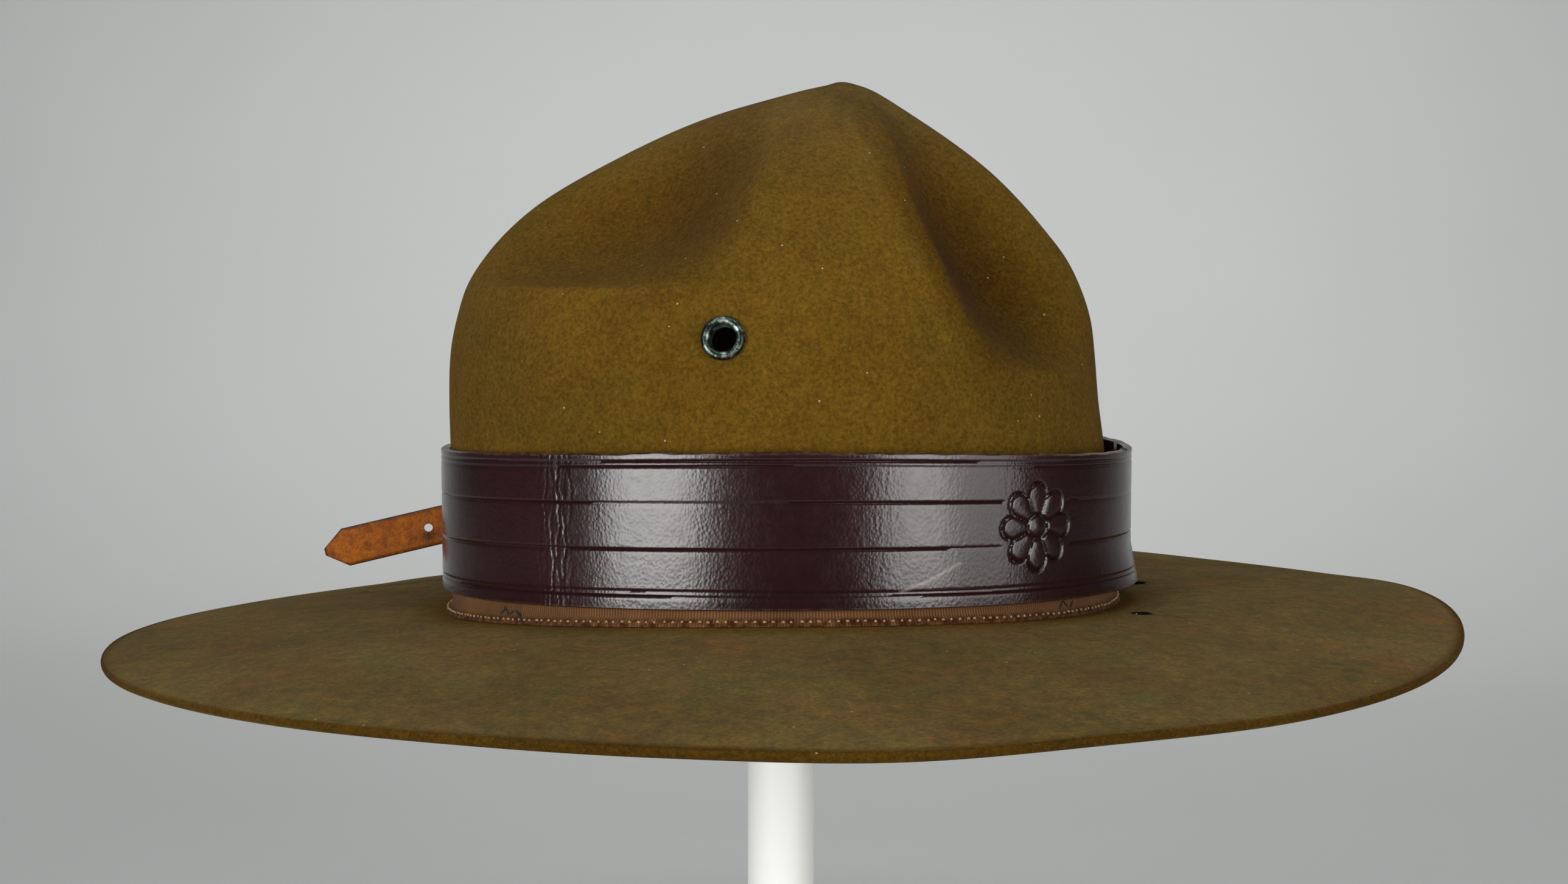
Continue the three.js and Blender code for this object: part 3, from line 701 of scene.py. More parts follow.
def felt_finish(colour):
    """Blocked wool felt: mottled, fuzzy, dull, with a few specks of lint.

    It gathers dust and is faded where it lies open, the pale mix there being partly painted sheen;
    its rolled rim is drawn darker, and the dents, the crown's inside and the brim holes get painted
    shade.
    """
    finish = Finish("wool_felt", Roughness=0.95, Sheen_Roughness=0.45, Specular_IOR_Level=0.04)
    finish.shader.inputs["Sheen Tint"].default_value = (1, 0.93, 0.8, 1)
    place = finish.place()
    painted_dent_shade = finish.stored("painted_dent_shade")
    dust_and_sheen = finish.stored("dust_and_sheen")
    handled = finish.stored("handled")
    blotches = finish.span(finish.noise(place, 18, 4, 0.6), 0.34, 0.66)
    mottle = finish.span(finish.noise(place, 850, 4, 0.72), 0.34, 0.66)
    fibres = finish.span(finish.noise(place, 1500, 4, 0.75, 1.2), 0.32, 0.68)
    grain = finish.span(finish.noise(place, 260, 3, 0.65), 0.34, 0.66)
    body = finish.mix(blotches, rgba(colour, 0.82), rgba(colour, 1.18))
    body = finish.mix(grain, finish.tinted(body, (0.91, 0.91, 0.88)),
                      finish.tinted(body, (1.08, 1.08, 1.08)))
    tufts = finish.span(finish.noise(place, 190, 4, 0.75), 0.36, 0.64)
    tufted = finish.mix(tufts, finish.tinted(body, (0.72, 0.78, 0.58)),
                        finish.tinted(body, (1.3, 1.26, 1.2)))
    body = finish.mix(dust_and_sheen, body, tufted)
    body = finish.mix(mottle, finish.tinted(body, (0.6, 0.6, 0.52)),
                      finish.tinted(body, (1.3, 1.28, 1.22)))
    greener = finish.span(finish.noise(place, 55, 4, 0.65), 0.45, 0.66, 0, 0.75)
    patchiness = finish.span(dust_and_sheen, 0, 1, 0.3, 1)
    body = finish.mix(finish.sum("MULTIPLY", greener, patchiness), body,
                      finish.tinted(body, (0.78, 1.08, 1.0)))
    redder = finish.span(finish.noise(finish.stretched(place, (1, 1, 1.3)), 33, 3, 0.6),
                         0.5, 0.66, 0, 0.8)
    body = finish.mix(finish.sum("MULTIPLY", redder, patchiness), body,
                      finish.tinted(body, (1.14, 0.88, 0.92)))
    # painted shade: the dents are drawn darker, down to 0.4, 0.3 and 0.1 of the felt's colour where
    # they sink most
    body = finish.mix(painted_dent_shade, body, finish.tinted(body, (0.4, 0.3, 0.1)))
    # painted shade: the felt facing inside the crown is drawn at about an eighth of its colour, so
    # the vents look black
    inside = finish.stored("inside")
    body = finish.mix(inside, body, finish.tinted(body, (0.12, 0.12, 0.12)))
    # pale dust, partly painted sheen: the open brim and the peak are mixed a little toward a pale
    # grey-green
    body = finish.mix(finish.sum("MULTIPLY", dust_and_sheen, finish.span(blotches, 0, 1, 0.5, 1)),
                      body, finish.mix(0.08, body, (0.28, 0.32, 0.22, 1)))
    # the brim's rolled rim is drawn darker and browner, at about half the felt's colour
    body = finish.mix(handled, body, finish.tinted(body, (0.5, 0.45, 0.3)))
    # painted shade: the felt in the brim holes and just round them is drawn near black
    painted_hole_shade = finish.stored("painted_hole_shade")
    body = finish.mix(painted_hole_shade, body, (0.004, 0.003, 0.002, 1))
    pale = finish.span(fibres, 0.72, 1, 0, 0.3)
    body = finish.mix(pale, body, rgba((0.27, 0.2, 0.07)))
    lint = finish.sum("LESS_THAN", finish.cells(place, 150), 0.045)
    rare = finish.sum("GREATER_THAN", finish.noise(place, 23, 2), 0.46)
    body = finish.mix(finish.sum("MULTIPLY", lint, rare), body, (0.38, 0.32, 0.2, 1))
    finish.colour(body)
    finish.feed(finish.shader, "Sheen Weight", finish.span(dust_and_sheen, 0, 1, 0.02, 0.055))
    soft = finish.bump(finish.noise(place, 60, 3, 0.6), 0.0009, 0.5)
    nap = finish.bump(mottle, 0.0004, 0.6, soft)
    finish.bump(fibres, 0.00018, 0.7, nap)
    return finish.material


def band_finish(colour):
    """Oxblood leather, waxed and handled, with a fine grain and rubbed edges."""
    finish = Finish("oxblood_leather", Specular_IOR_Level=0.55)
    place, uv = finish.place(), finish.uv()
    cloud = finish.span(finish.noise(place, 26, 4, 0.6), 0.35, 0.7)
    body = finish.mix(cloud, rgba(colour, 0.75), rgba(colour, 1.25))
    worn = finish.stored("wear")
    broken = finish.span(finish.noise(place, 420, 4, 0.7), 0.42, 0.62)
    rubbed = finish.sum("MULTIPLY", worn, broken)
    body = finish.mix(rubbed, body, (0.16, 0.075, 0.045, 1))
    # painted shade in the tooled lines and rosette, drawn near black where they sink
    sunk = finish.stored("sunk")
    body = finish.mix(sunk, body, (0.004, 0.002, 0.003, 1))
    scratch = finish.stored("scratch")
    body = finish.mix(scratch, body, (0.32, 0.26, 0.22, 1))
    finish.colour(body)
    grain = finish.cells(finish.stretched(uv, (1.0, 0.8, 1.0)), 1150)
    mist = finish.noise(place, 300, 5, 0.7)
    rough = finish.span(mist, 0.3, 0.7, 0.17, 0.25)
    finish.roughness(finish.sum("ADD", rough, finish.sum("MULTIPLY", worn, 0.25)))
    creases = finish.noise(finish.stretched(uv, (260, 45, 1)), 1, 4, 0.65, 1.5)
    soft = finish.bump(creases, 0.00012, 0.3)
    waves = finish.bump(finish.noise(place, 90, 3, 0.55), 0.00022, 0.2, soft)
    finish.bump(grain, 0.00008, 0.4, waves)
    return finish.material


def russet_finish(colour):
    """Oiled russet strap leather, mottled, with dark burnished edges."""
    finish = Finish("russet_leather", Specular_IOR_Level=0.25)
    place = finish.place()
    mottle = finish.span(finish.noise(place, 330, 5, 0.75, 0.6), 0.36, 0.66)
    cloud = finish.span(finish.noise(place, 70, 3, 0.6), 0.35, 0.7)
    body = finish.mix(cloud, rgba(colour, 0.8), rgba(colour, 1.2))
    body = finish.mix(mottle, rgba((0.2, 0.05, 0.006)), body)
    burnt = finish.stored("burnish")
    patchy = finish.sum("MULTIPLY", burnt, finish.span(mottle, 0, 1, 1, 0.8))
    body = finish.mix(patchy, body, (0.016, 0.006, 0.003, 1))
    finish.colour(body)
    finish.roughness(finish.span(mottle, 0, 1, 0.62, 0.48))
    soft = finish.bump(finish.noise(place, 160, 4, 0.6), 0.0004, 0.5)
    finish.bump(finish.cells(place, 1300), 0.00014, 0.6, soft)
    return finish.material


def ribbon_finish(colour):
    """Brown grosgrain: fine upright ribs, a little uneven in tone, with a painted shadow along its
    lower edge.
    """
    finish = Finish("brown_grosgrain", Roughness=0.85, Sheen_Weight=0.04,
                    Specular_IOR_Level=0.1)
    place, uv = finish.place(), finish.uv()
    ribs = finish.node("TexWave", {"bands_direction": "X", "wave_profile": "SIN"},
                       Vector=uv, Scale=370.0, Distortion=0.25).outputs["Fac"]
    threads = finish.noise(finish.stretched(uv, (2600, 700, 1)), 1, 3, 0.6)
    tone = finish.span(finish.noise(place, 45, 4, 0.65), 0.35, 0.7)
    body = finish.mix(tone, rgba(colour, 0.8), rgba(colour, 1.3))
    body = finish.mix(ribs, finish.tinted(body, (0.5, 0.5, 0.5)), body)
    # painted shadow: the ribbon's lowest 1 to 2 mm, where it meets the brim, is drawn in dark
    # red-brown patches
    hem = finish.span(finish.split(uv)["Y"], 0.0009, 0.0019, 1, 0)
    patchy = finish.sum("MULTIPLY", hem, finish.span(finish.noise(place, 480, 3), 0.3, 0.6))
    body = finish.mix(patchy, body, (0.045, 0.012, 0.004, 1))
    finish.colour(body)
    raised = finish.bump(ribs, 0.0003, 0.7)
    finish.bump(threads, 0.0001, 0.5, raised)
    return finish.material


def thread_finish(name, colour):
    finish = Finish(name, Roughness=0.7, Sheen_Weight=0.1)
    place = finish.place()
    tone = finish.span(finish.noise(place, 700, 3), 0.3, 0.7)
    finish.colour(finish.mix(tone, rgba(colour, 0.6), rgba(colour, 1.2)))
    finish.bump(finish.noise(place, 2600, 2), 0.0001, 0.6)
    return finish.material


def metal_finish(name, colour, bright, rough):
    """Painted or plated metal rubbed bright in scattered patches."""
    finish = Finish(name, Metallic=0.9)
    place = finish.place()
    rub = finish.span(finish.noise(place, 520, 4, 0.65), 0.5, 0.72)
    finish.colour(finish.mix(rub, rgba(colour), rgba(bright)))
    finish.roughness(finish.span(finish.noise(place, 260, 4), 0.3, 0.7, rough, rough + 0.18))
    finish.bump(finish.noise(place, 900, 3), 0.00012, 0.35)
    return finish.material


def white_finish(name, colour, rough):
    """Plain white stand: smooth, a little handled."""
    finish = Finish(name, Specular_IOR_Level=0.4)
    place = finish.place()
    smear = finish.span(finish.noise(place, 18, 4, 0.6), 0.35, 0.7)
    finish.colour(finish.mix(smear, rgba(colour, 0.96), rgba(colour)))
    finish.roughness(finish.span(finish.noise(place, 60, 4), 0.3, 0.7, rough, rough + 0.15))
    finish.bump(finish.noise(place, 420, 2), 0.0001, 0.15)
    return finish.material


def stage_finish(name, colour):
    finish = Finish(name, Roughness=0.9, Specular_IOR_Level=0.1)
    tone = finish.span(finish.noise(finish.place(), 5, 3), 0.3, 0.7)
    finish.colour(finish.mix(tone, rgba(colour, 0.98), rgba(colour)))
    return finish.material


def dress(piece, material):
    piece.data.materials.clear()
    piece.data.materials.append(material)


def add_attribute(piece, name, values):
    """Stores one number for each vertex of a piece."""
    attribute = piece.data.attributes.new(name, "FLOAT", "POINT")
    attribute.data.foreach_set("value", np.asarray(values, np.float32))


def coordinates(piece):
    places = np.empty(len(piece.data.vertices) * 3)
    piece.data.vertices.foreach_get("co", places)
    return places.reshape(-1, 3) / MM


def corner_uv_of_points(piece):
    """The last UV that each vertex has, in millimetres."""
    mesh = piece.data
    uv = np.empty(len(mesh.loops) * 2)
    mesh.uv_layers.active.data.foreach_get("uv", uv)
    corner = np.empty(len(mesh.loops), np.int32)
    mesh.loops.foreach_get("vertex_index", corner)
    found = np.zeros((len(mesh.vertices), 2))
    found[corner] = uv.reshape(-1, 2) / MM
    return found


# What a user may change

def length(name, description, default):
    return bpy.props.FloatProperty(name=name, description=description, default=default,
                                   min=0, subtype="DISTANCE", unit="LENGTH", precision=5)


def tint(name, description, default):
    return bpy.props.FloatVectorProperty(name=name, description=description, default=default,
                                         size=3, min=0, max=1, subtype="COLOR")


class HatFeltSettings(bpy.types.PropertyGroup):
    front_dent_depth: length("Front dents", "Depth of the two front dents", 0.018)
    rear_dent_depth: length("Rear dents", "Depth of the two rear dents", 0.016)
    unevenness: length("Unevenness", "How far the handled felt swells and sinks", 0.0005)
    colour: tint("Felt", "Colour of the wool felt", (0.122, 0.0655, 0.0066))


class HatRibbonSettings(bpy.types.PropertyGroup):
    colour: tint("Ribbon", "Colour of the grosgrain", (0.19, 0.088, 0.034))
    thread: tint("Stitches", "Colour of the sewing thread", (0.4, 0.25, 0.085))
    stitch_pitch: length("Stitch spacing", "From one stitch to the next", 0.0023)


class HatBandSettings(bpy.types.PropertyGroup):
    colour: tint("Band leather", "Colour of the waxed leather", (0.017, 0.0034, 0.0044))
    groove_depth: length("Tooled lines", "Depth of the tooled lines", 0.0003)
    rosette_radius: length("Rosette", "Radius of the tooled rosette", 0.0125)


class HatStrapSettings(bpy.types.PropertyGroup):
    colour: tint("Strap leather", "Colour of the russet leather", (0.42, 0.12, 0.0065))
    brass: tint("Buckle", "Colour of the buckle's brass", (0.20, 0.145, 0.055))


class HatEyeletSettings(bpy.types.PropertyGroup):
    colour: tint("Eyelets", "Colour of the blackened metal", (0.020, 0.030, 0.025))
    rubbed: tint("Rubbed metal", "Colour where the blacking is worn", (0.34, 0.4, 0.33))


class HatStandSettings(bpy.types.PropertyGroup):
    colour: tint("Stand", "Colour of the stand", (0.86, 0.875, 0.82))


class HatStageSettings(bpy.types.PropertyGroup):
    colour: tint("Paper", "Colour of the floor and backdrop", (0.6, 0.612, 0.603))
    key_power: bpy.props.FloatProperty(name="Softboxes", description="Power of each softbox",
                                       default=7.0, min=0, subtype="POWER", unit="POWER")
    top_power: bpy.props.FloatProperty(name="Top light", description="Its power",
                                       default=8.0, min=0, subtype="POWER", unit="POWER")
    back_power: bpy.props.FloatProperty(name="Backdrop light", description="Its power",
                                        default=7.0, min=0, subtype="POWER", unit="POWER")


# Operators: one for each piece or group of like pieces

class HAT_OT_felt(bpy.types.Operator):
    """Make the crown and brim, one piece of blocked felt"""

    bl_idname = "hat.felt"
    bl_label = "Felt body"

    def execute(self, context):
        settings = context.scene.hat_felt
        columns, crown_rows, brim_rows = 320, 136, 44
        depths = (settings.front_dent_depth / MM, settings.rear_dent_depth / MM)
        upper, under = felt_grids(columns, crown_rows, brim_rows, depths,
                                  settings.unevenness / MM)
        thin = np.unique(np.concatenate([
            np.arange(0, brim_rows, 4), np.arange(brim_rows, brim_rows + 6),
            np.arange(brim_rows + 6, len(under) - 1, 3), [len(under) - 1],
        ]))
        rolled = brim_edge_rows(upper[0], under[0], turns_of(columns), 6)[::-1]
        grid = closed_round(np.concatenate([under[thin[::-1]], rolled, upper]))
        turn = np.linspace(0, math.tau, columns + 1)
        uvs = np.stack(np.broadcast_arrays(
            turn[None, :] * CROWN_FRONT, np.arange(len(grid))[:, None] * 2.0), axis=-1)
        felt = grid_piece("felt_hat", grid, uvs)
        for side in (-1, 1):
            point, direction = seat_on_crown(side * VENT_ANGLE, HAT_LEVEL + VENT_HEIGHT)
            barrel = EYELET_BORE + 2 * (EYELET_SHEET + CLEARANCE)
            drill(felt, barrel, CROWN_WALL * 8, point, direction)
            drill(felt, BRIM_HOLE_SIZE, BRIM_THICKNESS * 6, brim_hole_place(side), (0, 0, 1))
        self.mark(felt)
        smooth(felt, 60)
        dress(felt, felt_finish(settings.colour))
        place(felt, "felt", "felt_body")
        return {"FINISHED"}

    @staticmethod
    def mark(felt):
        """Stores the painted shade of the dents, where dust and painted sheen lie, the darker rim,
        the painted shade round the brim holes, and where the felt faces inside for its painted
        shade.
        """
        x, y, z = coordinates(felt).T
        turn = np.arctan2(y, x)
        reach = np.hypot(x, y * CROWN_FRONT / CROWN_SIDE)
        on_crown = reach < CROWN_FRONT * 1.03
        # painted shade of the dents, strongest where they sink most
        painted_dent_shade = np.where(on_crown, dent_depth(turn, z, (1, 0.5)), 0) ** 0.5
        on_brim = smoothstep(reach, CROWN_FRONT * 1.03, CROWN_FRONT * 1.2)
        at_peak = smoothstep(z, HAT_LEVEL + 140, HAT_LEVEL + CROWN_PEAK) * (1 - painted_dent_shade)
        round_x, round_y = oval(BRIM_HALF_LENGTH - BRIM_SETBACK, BRIM_HALF_LENGTH + BRIM_SETBACK,
                                BRIM_HALF_WIDTH, turn)
        inset = np.hypot(round_x, round_y) - np.hypot(x, y)
        rim = 1 - smoothstep(inset, 0.9, 2.2)
        add_attribute(felt, "painted_dent_shade", painted_dent_shade)
        # dust and painted sheen lie on the open brim, off its rim, and at six tenths on the peak
        add_attribute(felt, "dust_and_sheen", np.maximum(on_brim * (1 - rim), 0.6 * at_peak))
        # how much darker the brim's rolled rim is drawn
        add_attribute(felt, "handled", rim)
        # painted shade in the brim holes: the felt within 0.1 mm past their walls
        nearest = np.min([np.hypot(x - hole[0], y - hole[1])
                          for hole in (brim_hole_place(side) for side in (-1, 1))], axis=0)
        add_attribute(felt, "painted_hole_shade", nearest < BRIM_HOLE_SIZE / 2 + 0.1)
        # where the felt faces inside the crown, which gets painted shade
        faced = np.empty(len(x) * 3)
        felt.data.vertices.foreach_get("normal", faced)
        outwards = np.stack([x, y, z - HAT_LEVEL - CROWN_PEAK / 3], -1)
        faces_in = np.sum(faced.reshape(-1, 3) * outwards, axis=-1) < 0
        add_attribute(felt, "inside", on_crown & faces_in)


class HAT_OT_ribbon(bpy.types.Operator):
    """Make the grosgrain ribbon round the crown's foot, with its stitches"""

    bl_idname = "hat.ribbon"
    bl_label = "Ribbon"

    def execute(self, context):
        settings = context.scene.hat_ribbon
        columns = 480
        turn = turns_of(columns)[None, :]
        lifts = np.concatenate([
            [RIBBON_RISE, 1.7, 2.3, 3.1], np.linspace(FOOT_RADIUS, RIBBON_WIDTH, 10)])
        rows = wall_points(turn, np.broadcast_to(lifts[:, None], (len(lifts), columns)))
        normals = grid_normals(rows)
        outer = rows + normals * (CLEARANCE + RIBBON_THICKNESS)
        inner = rows + normals * CLEARANCE
        low = (outer[:1] + inner[:1]) / 2 - (rows[1:2] - rows[:1]) * 0.5
        high = (outer[-1:] + inner[-1:]) / 2 + (0, 0, 0.3)
        grid = np.concatenate([low, outer, high, inner[::-1], low])
        along = np.linspace(0, BAND_ROUND, columns + 1)
        heights = np.concatenate([[0], lifts, [RIBBON_WIDTH], lifts[::-1], [0]])
        uvs = np.stack(np.broadcast_arrays(along[None, :], heights[:, None]), axis=-1)
        ribbon = grid_piece("grosgrain_ribbon", closed_round(grid), uvs)
        smooth(ribbon, 60)
        dress(ribbon, ribbon_finish(settings.colour))
        place(ribbon, "grosgrain", "ribbon")
        round_length = float(np.linalg.norm(
            np.diff(closed_round(rows[5:6])[0], axis=0), axis=-1).sum())
        stitches = self.stitches(settings, round_length)
        return {"FINISHED"}

    def stitches(self, settings, round_length):
        count = int(round_length / (settings.stitch_pitch / MM))
        draw = np.random.default_rng(11)
        turn = (np.arange(count) + draw.uniform(-0.12, 0.12, count)) * math.tau / count
        lift = RIBBON_RISE + 0.12 + draw.uniform(-0.1, 0.12, count)
        ahead, behind = (wall_points(turn + step, lift) for step in (0.004, -0.004))
        above = wall_points(turn, lift + 0.5)
        here = wall_points(turn, lift)
        heading = ahead - behind
        heading /= np.linalg.norm(heading, axis=-1, keepdims=True)
        out = np.cross(heading, above - here)
        out /= np.linalg.norm(out, axis=-1, keepdims=True)
        size = draw.uniform(0.34, 0.62, count)
        hem = sewn("ribbon_stitches", here + out * (CLEARANCE + RIBBON_THICKNESS),
                   heading, out, size, 0.4)
        dress(hem, thread_finish("pale_thread", settings.thread))
        place(hem, "grosgrain")
        tacks = []
        for angle, rise, lean in TACKS:
            tacks.append((math.radians(angle), rise, lean))
        turn, lift, lean = np.array(tacks).T
        here = wall_points(turn, lift)
        heading = wall_points(turn + 0.004, lift) - wall_points(turn - 0.004, lift)
        heading /= np.linalg.norm(heading, axis=-1, keepdims=True)
        above = wall_points(turn, lift + 0.5) - here
        out = np.cross(heading, above)
        out /= np.linalg.norm(out, axis=-1, keepdims=True)
        above = np.cross(out, heading)
        slanted = heading * np.cos(lean)[:, None] + above * np.sin(lean)[:, None]
        tack = sewn("ribbon_tacks", here + out * (CLEARANCE + RIBBON_THICKNESS + 0.1),
                    slanted, out, np.full(len(turn), 1.9), 0.3)
        dress(tack, thread_finish("dark_thread", (0.02, 0.012, 0.008)))
        place(tack, "grosgrain")
        return [hem, tack]


# Angle, lift above the brim and slant of each thread of the ribbon's two tacks
TACKS = [
    (225.0, 3.4, 0.7), (226.2, 3.9, -0.9), (227.4, 3.0, 0.5), (229.5, 2.8, -0.8),
    (230.3, 2.0, -1.0), (328.0, 3.2, 0.9), (329.6, 3.6, -0.7), (331.2, 3.0, 0.8),
]


def sewn(name, places, headings, outs, half_lengths, half_width):
    """Threads laid on a surface, each a copy of one small rounded stitch."""
    select_only(None)
    bpy.ops.mesh.primitive_uv_sphere_add(segments=8, ring_count=4, radius=1)
    stitch = bpy.context.object
    form = coordinates(stitch) * MM
    faces = [tuple(face.vertices) for face in stitch.data.polygons]
    bpy.data.objects.remove(stitch)
    sides = np.cross(outs, headings)
    corners, all_faces = [], []
    for k, (centre, heading, out, side) in enumerate(zip(places, headings, outs, sides)):
        arched = half_width * (1 - 0.6 * form[:, 2:] ** 2)
        at = (centre + form[:, 2:] * heading * half_lengths[k]
              + form[:, :1] * side * half_width + (form[:, 1:2] * half_width + arched * 0.3) * out)
        corners.extend(at * MM)
        all_faces.extend(tuple(v + k * len(form) for v in face) for face in faces)
    mesh = bpy.data.meshes.new(name)
    mesh.from_pydata([tuple(c) for c in corners], [], all_faces)
    piece = bpy.data.objects.new(name, mesh)
    bpy.context.scene.collection.objects.link(piece)
    in_edit_mode(piece, (bpy.ops.mesh.normals_make_consistent, {"inside": False}))
    smooth(piece)
    return piece


# Where things are on the band: angles from the front, and heights above its lower edge
ROSETTE_ANGLE = 318.3
ROSETTE_HEIGHT = 21.8
WRINKLES = [
    (236.4, 0.12), (237.6, 0.19), (238.9, 0.24), (240.1, 0.21), (241.3, 0.15), (242.4, 0.08),
    (251.6, 0.05), (253.2, 0.07), (254.9, 0.06), (256.3, 0.04),
]
SCRATCH = [(294.0, 5.0), (298.5, 8.0), (303.5, 12.5)]
SCRATCH_WIDTH = 0.38
CREASE_ANGLE = 239.6
TORN_ANGLE = 352
WORN_CORNER_ANGLE = 358
PETALS = 8
TOOLED_LINES = [0.055, 0.09, 0.32, 0.615, 0.885, 0.915]


def band_relief(distance, height, top, groove_depth, rosette_radius):
    """Height of the tooled work on the band's outside, and the painted shade in its sunk lines and
    rosette.
    """
    share = 1 - height / top
    relief = np.zeros(np.broadcast(distance, height).shape)
    dark = np.zeros_like(relief)
    across = distance - distance_at(ROSETTE_ANGLE)
    rise = height - ROSETTE_HEIGHT
    radius = np.hypot(across, rise)
    clear = smoothstep(radius, rosette_radius + 0.6, rosette_radius + 2.2)
    for line in TOOLED_LINES:
        wander = 0.12 * np.sin(distance * 0.043 + line * 40)
        cut = np.exp(-(((share - line) * top + wander) / 0.27) ** 2)
        relief -= groove_depth * cut * clear
        # painted shade, as strong as the line cuts
        dark += cut * clear * 0.36
    for k, (angle, depth) in enumerate(WRINKLES):
        path = distance_at(angle) + 0.5 * np.sin(height * 0.31 + k * 2.1) \
            + 0.25 * np.sin(height * 0.83 + k * 4.7) + 0.12 * np.sin(height * 2.3 + k * 1.3)
        fading = 0.65 + 0.35 * np.sin(height * 0.17 + k * 2.9)
        relief -= depth * fading * np.exp(-((distance - path) / 0.34) ** 2)
        relief += depth * fading * 0.5 * np.exp(-((distance - path - 0.8) / 0.6) ** 2)
    turn = np.arctan2(rise, across)
    lobe = np.abs(np.cos(turn * PETALS / 2)) ** 0.6
    rim = rosette_radius * (0.66 + 0.34 * lobe)
    inside = smoothstep(rim - radius, 0, 1.2)
    outline = np.exp(-((radius - rim) / 0.42) ** 2)
    vein = np.exp(-(np.sin(turn * PETALS / 2 + math.pi / 2) * radius / (PETALS / 2) / 0.34) ** 2)
    heart = rosette_radius * 0.27
    ring = np.exp(-((radius - heart) / 0.4) ** 2)
    between = smoothstep(radius, heart, heart + 1)
    relief += 0.35 * inside * lobe * between * (1 - (radius / rosette_radius - 0.6) ** 2)
    relief -= 0.5 * outline + 0.4 * vein * inside * between + 0.45 * ring
    relief += 0.4 * (1 - smoothstep(radius, 0, heart))
    # painted shade in the rosette's outline, veins and ring
    dark += 0.9 * outline + 0.6 * vein * inside * between + 0.8 * ring
    return relief, np.clip(dark, 0, 1)


class HAT_OT_band(bpy.types.Operator):
    """Make the wide leather band with its tooled lines and rosette"""

    bl_idname = "hat.band"
    bl_label = "Leather band"

    def execute(self, context):
        settings = context.scene.hat_band
        start = -BUCKLE_LENGTH / 2 - CLEARANCE
        end = BAND_ROUND + start - BAND_GAP
        fine = [(distance_at(ROSETTE_ANGLE), 15), (distance_at(CREASE_ANGLE), 10)]
        distance = self.columns(start, end, fine)
        turn = turn_along(distance)
        frontness = np.maximum(0, np.cos(turn))
        flare = BAND_FLARE * frontness**12
        top = BAND_HEIGHT + (BAND_HEIGHT_FRONT - BAND_HEIGHT) * frontness**2
        share = np.linspace(0, 1, 90)[:, None]
        height = 0.45 + share * (top - 0.9)
        relief, _ = band_relief(distance[None, :], height, top[None, :],
                                settings.groove_depth / MM, settings.rosette_radius / MM)
        torn = 0.55 * np.exp(-((distance - distance_at(TORN_ANGLE)) / 7) ** 2)
        fray = (0.2 * soft_waves(points_of(distance, 0, 0), 7, 9)
                + torn * soft_waves(points_of(distance, 0, 0), 2.4, 10))
        fray = fray * smoothstep(height, top - 1.5, top)
        splay = flare * (1 - np.clip(height / BAND_FLARE_HEIGHT, 0, 1))
        outer = band_points(turn, BAND_THICKNESS - 0.1 + relief + splay, height + fray)
        steps = np.array([0.3, 0.5, 0.7])[:, None]
        over = band_points(turn, BAND_THICKNESS * (1 - steps) - 0.05,
                           top - 0.15 * np.abs(steps - 0.5) * 2 + fray[-1:])
        inside_height = (1 - np.linspace(0, 1, 8)[:, None]) * (top - 0.9) + 0.45
        inner_splay = flare * (1 - np.clip(inside_height / BAND_FLARE_HEIGHT, 0, 1))
        inner = band_points(turn, 0.02 + inner_splay, inside_height)
        under = band_points(turn, BAND_THICKNESS * steps + flare,
                            0.15 * np.abs(steps - 0.5) * 2)
        grid = np.concatenate([outer, over, inner, under, outer[:1]])
        rows = np.concatenate([height, top + 0 * steps, inside_height, 0 * steps * top, height[:1]])
        uvs = np.stack(np.broadcast_arrays(distance[None, :], rows), axis=-1)
        band = grid_piece("oxblood_band", grid, uvs, open_ends=True)
        self.mark(band, settings)
        smooth(band, 50)
        dress(band, band_finish(settings.colour))
        place(band, "band_leather", "leather_band")
        return {"FINISHED"}

    @staticmethod
    def columns(start, end, fine):
        """Distances along the band, closer together where the work is fine."""
        places = [start]
        while places[-1] < end:
            step = 1.3
            for middle, reach in fine:
                if abs(places[-1] - middle) < reach:
                    step = 0.42
            places.append(places[-1] + step)
        places = np.array(places)
        return start + (places - start) * (end - start) / (places[-1] - start)

    @staticmethod
    def mark(band, settings):
        """Stores where the leather is worn and scratched, and the painted shade in its tooled work.
        """
        distance, height = corner_uv_of_points(band).T
        frontness = np.maximum(0, np.cos(turn_along(distance)))
        top = BAND_HEIGHT + (BAND_HEIGHT_FRONT - BAND_HEIGHT) * frontness**2
        _, dark = band_relief(distance, height, top, settings.groove_depth / MM,
                              settings.rosette_radius / MM)
        upper_rim = smoothstep(height, top - 0.9, top - 0.1) * 0.55
        lower_rim = (1 - smoothstep(height, 0.1, 0.8)) * 0.5
        corner = np.exp(-((distance - distance_at(WORN_CORNER_ANGLE)) / 5) ** 2
                        - ((height - 5) / 9) ** 2)
        worn = np.clip(upper_rim + lower_rim + corner, 0, 1)
        worn = np.where(height > top - 0.05, np.maximum(worn, 0.6), worn)
        path = np.array([(distance_at(angle), rise) for angle, rise in SCRATCH])
        nearest = np.full(len(distance), 99.0)
        for first, second in zip(path[:-1], path[1:]):
            leg = second - first
            along = ((distance - first[0]) * leg[0] + (height - first[1]) * leg[1]) / (leg @ leg)
            along = np.clip(along, 0, 1)
            gap = np.hypot(distance - first[0] - along * leg[0],
                           height - first[1] - along * leg[1])
            nearest = np.minimum(nearest, gap)
        add_attribute(band, "wear", worn)
        add_attribute(band, "sunk", dark)
        add_attribute(band, "scratch", 0.5 * np.exp(-(nearest / SCRATCH_WIDTH) ** 2))


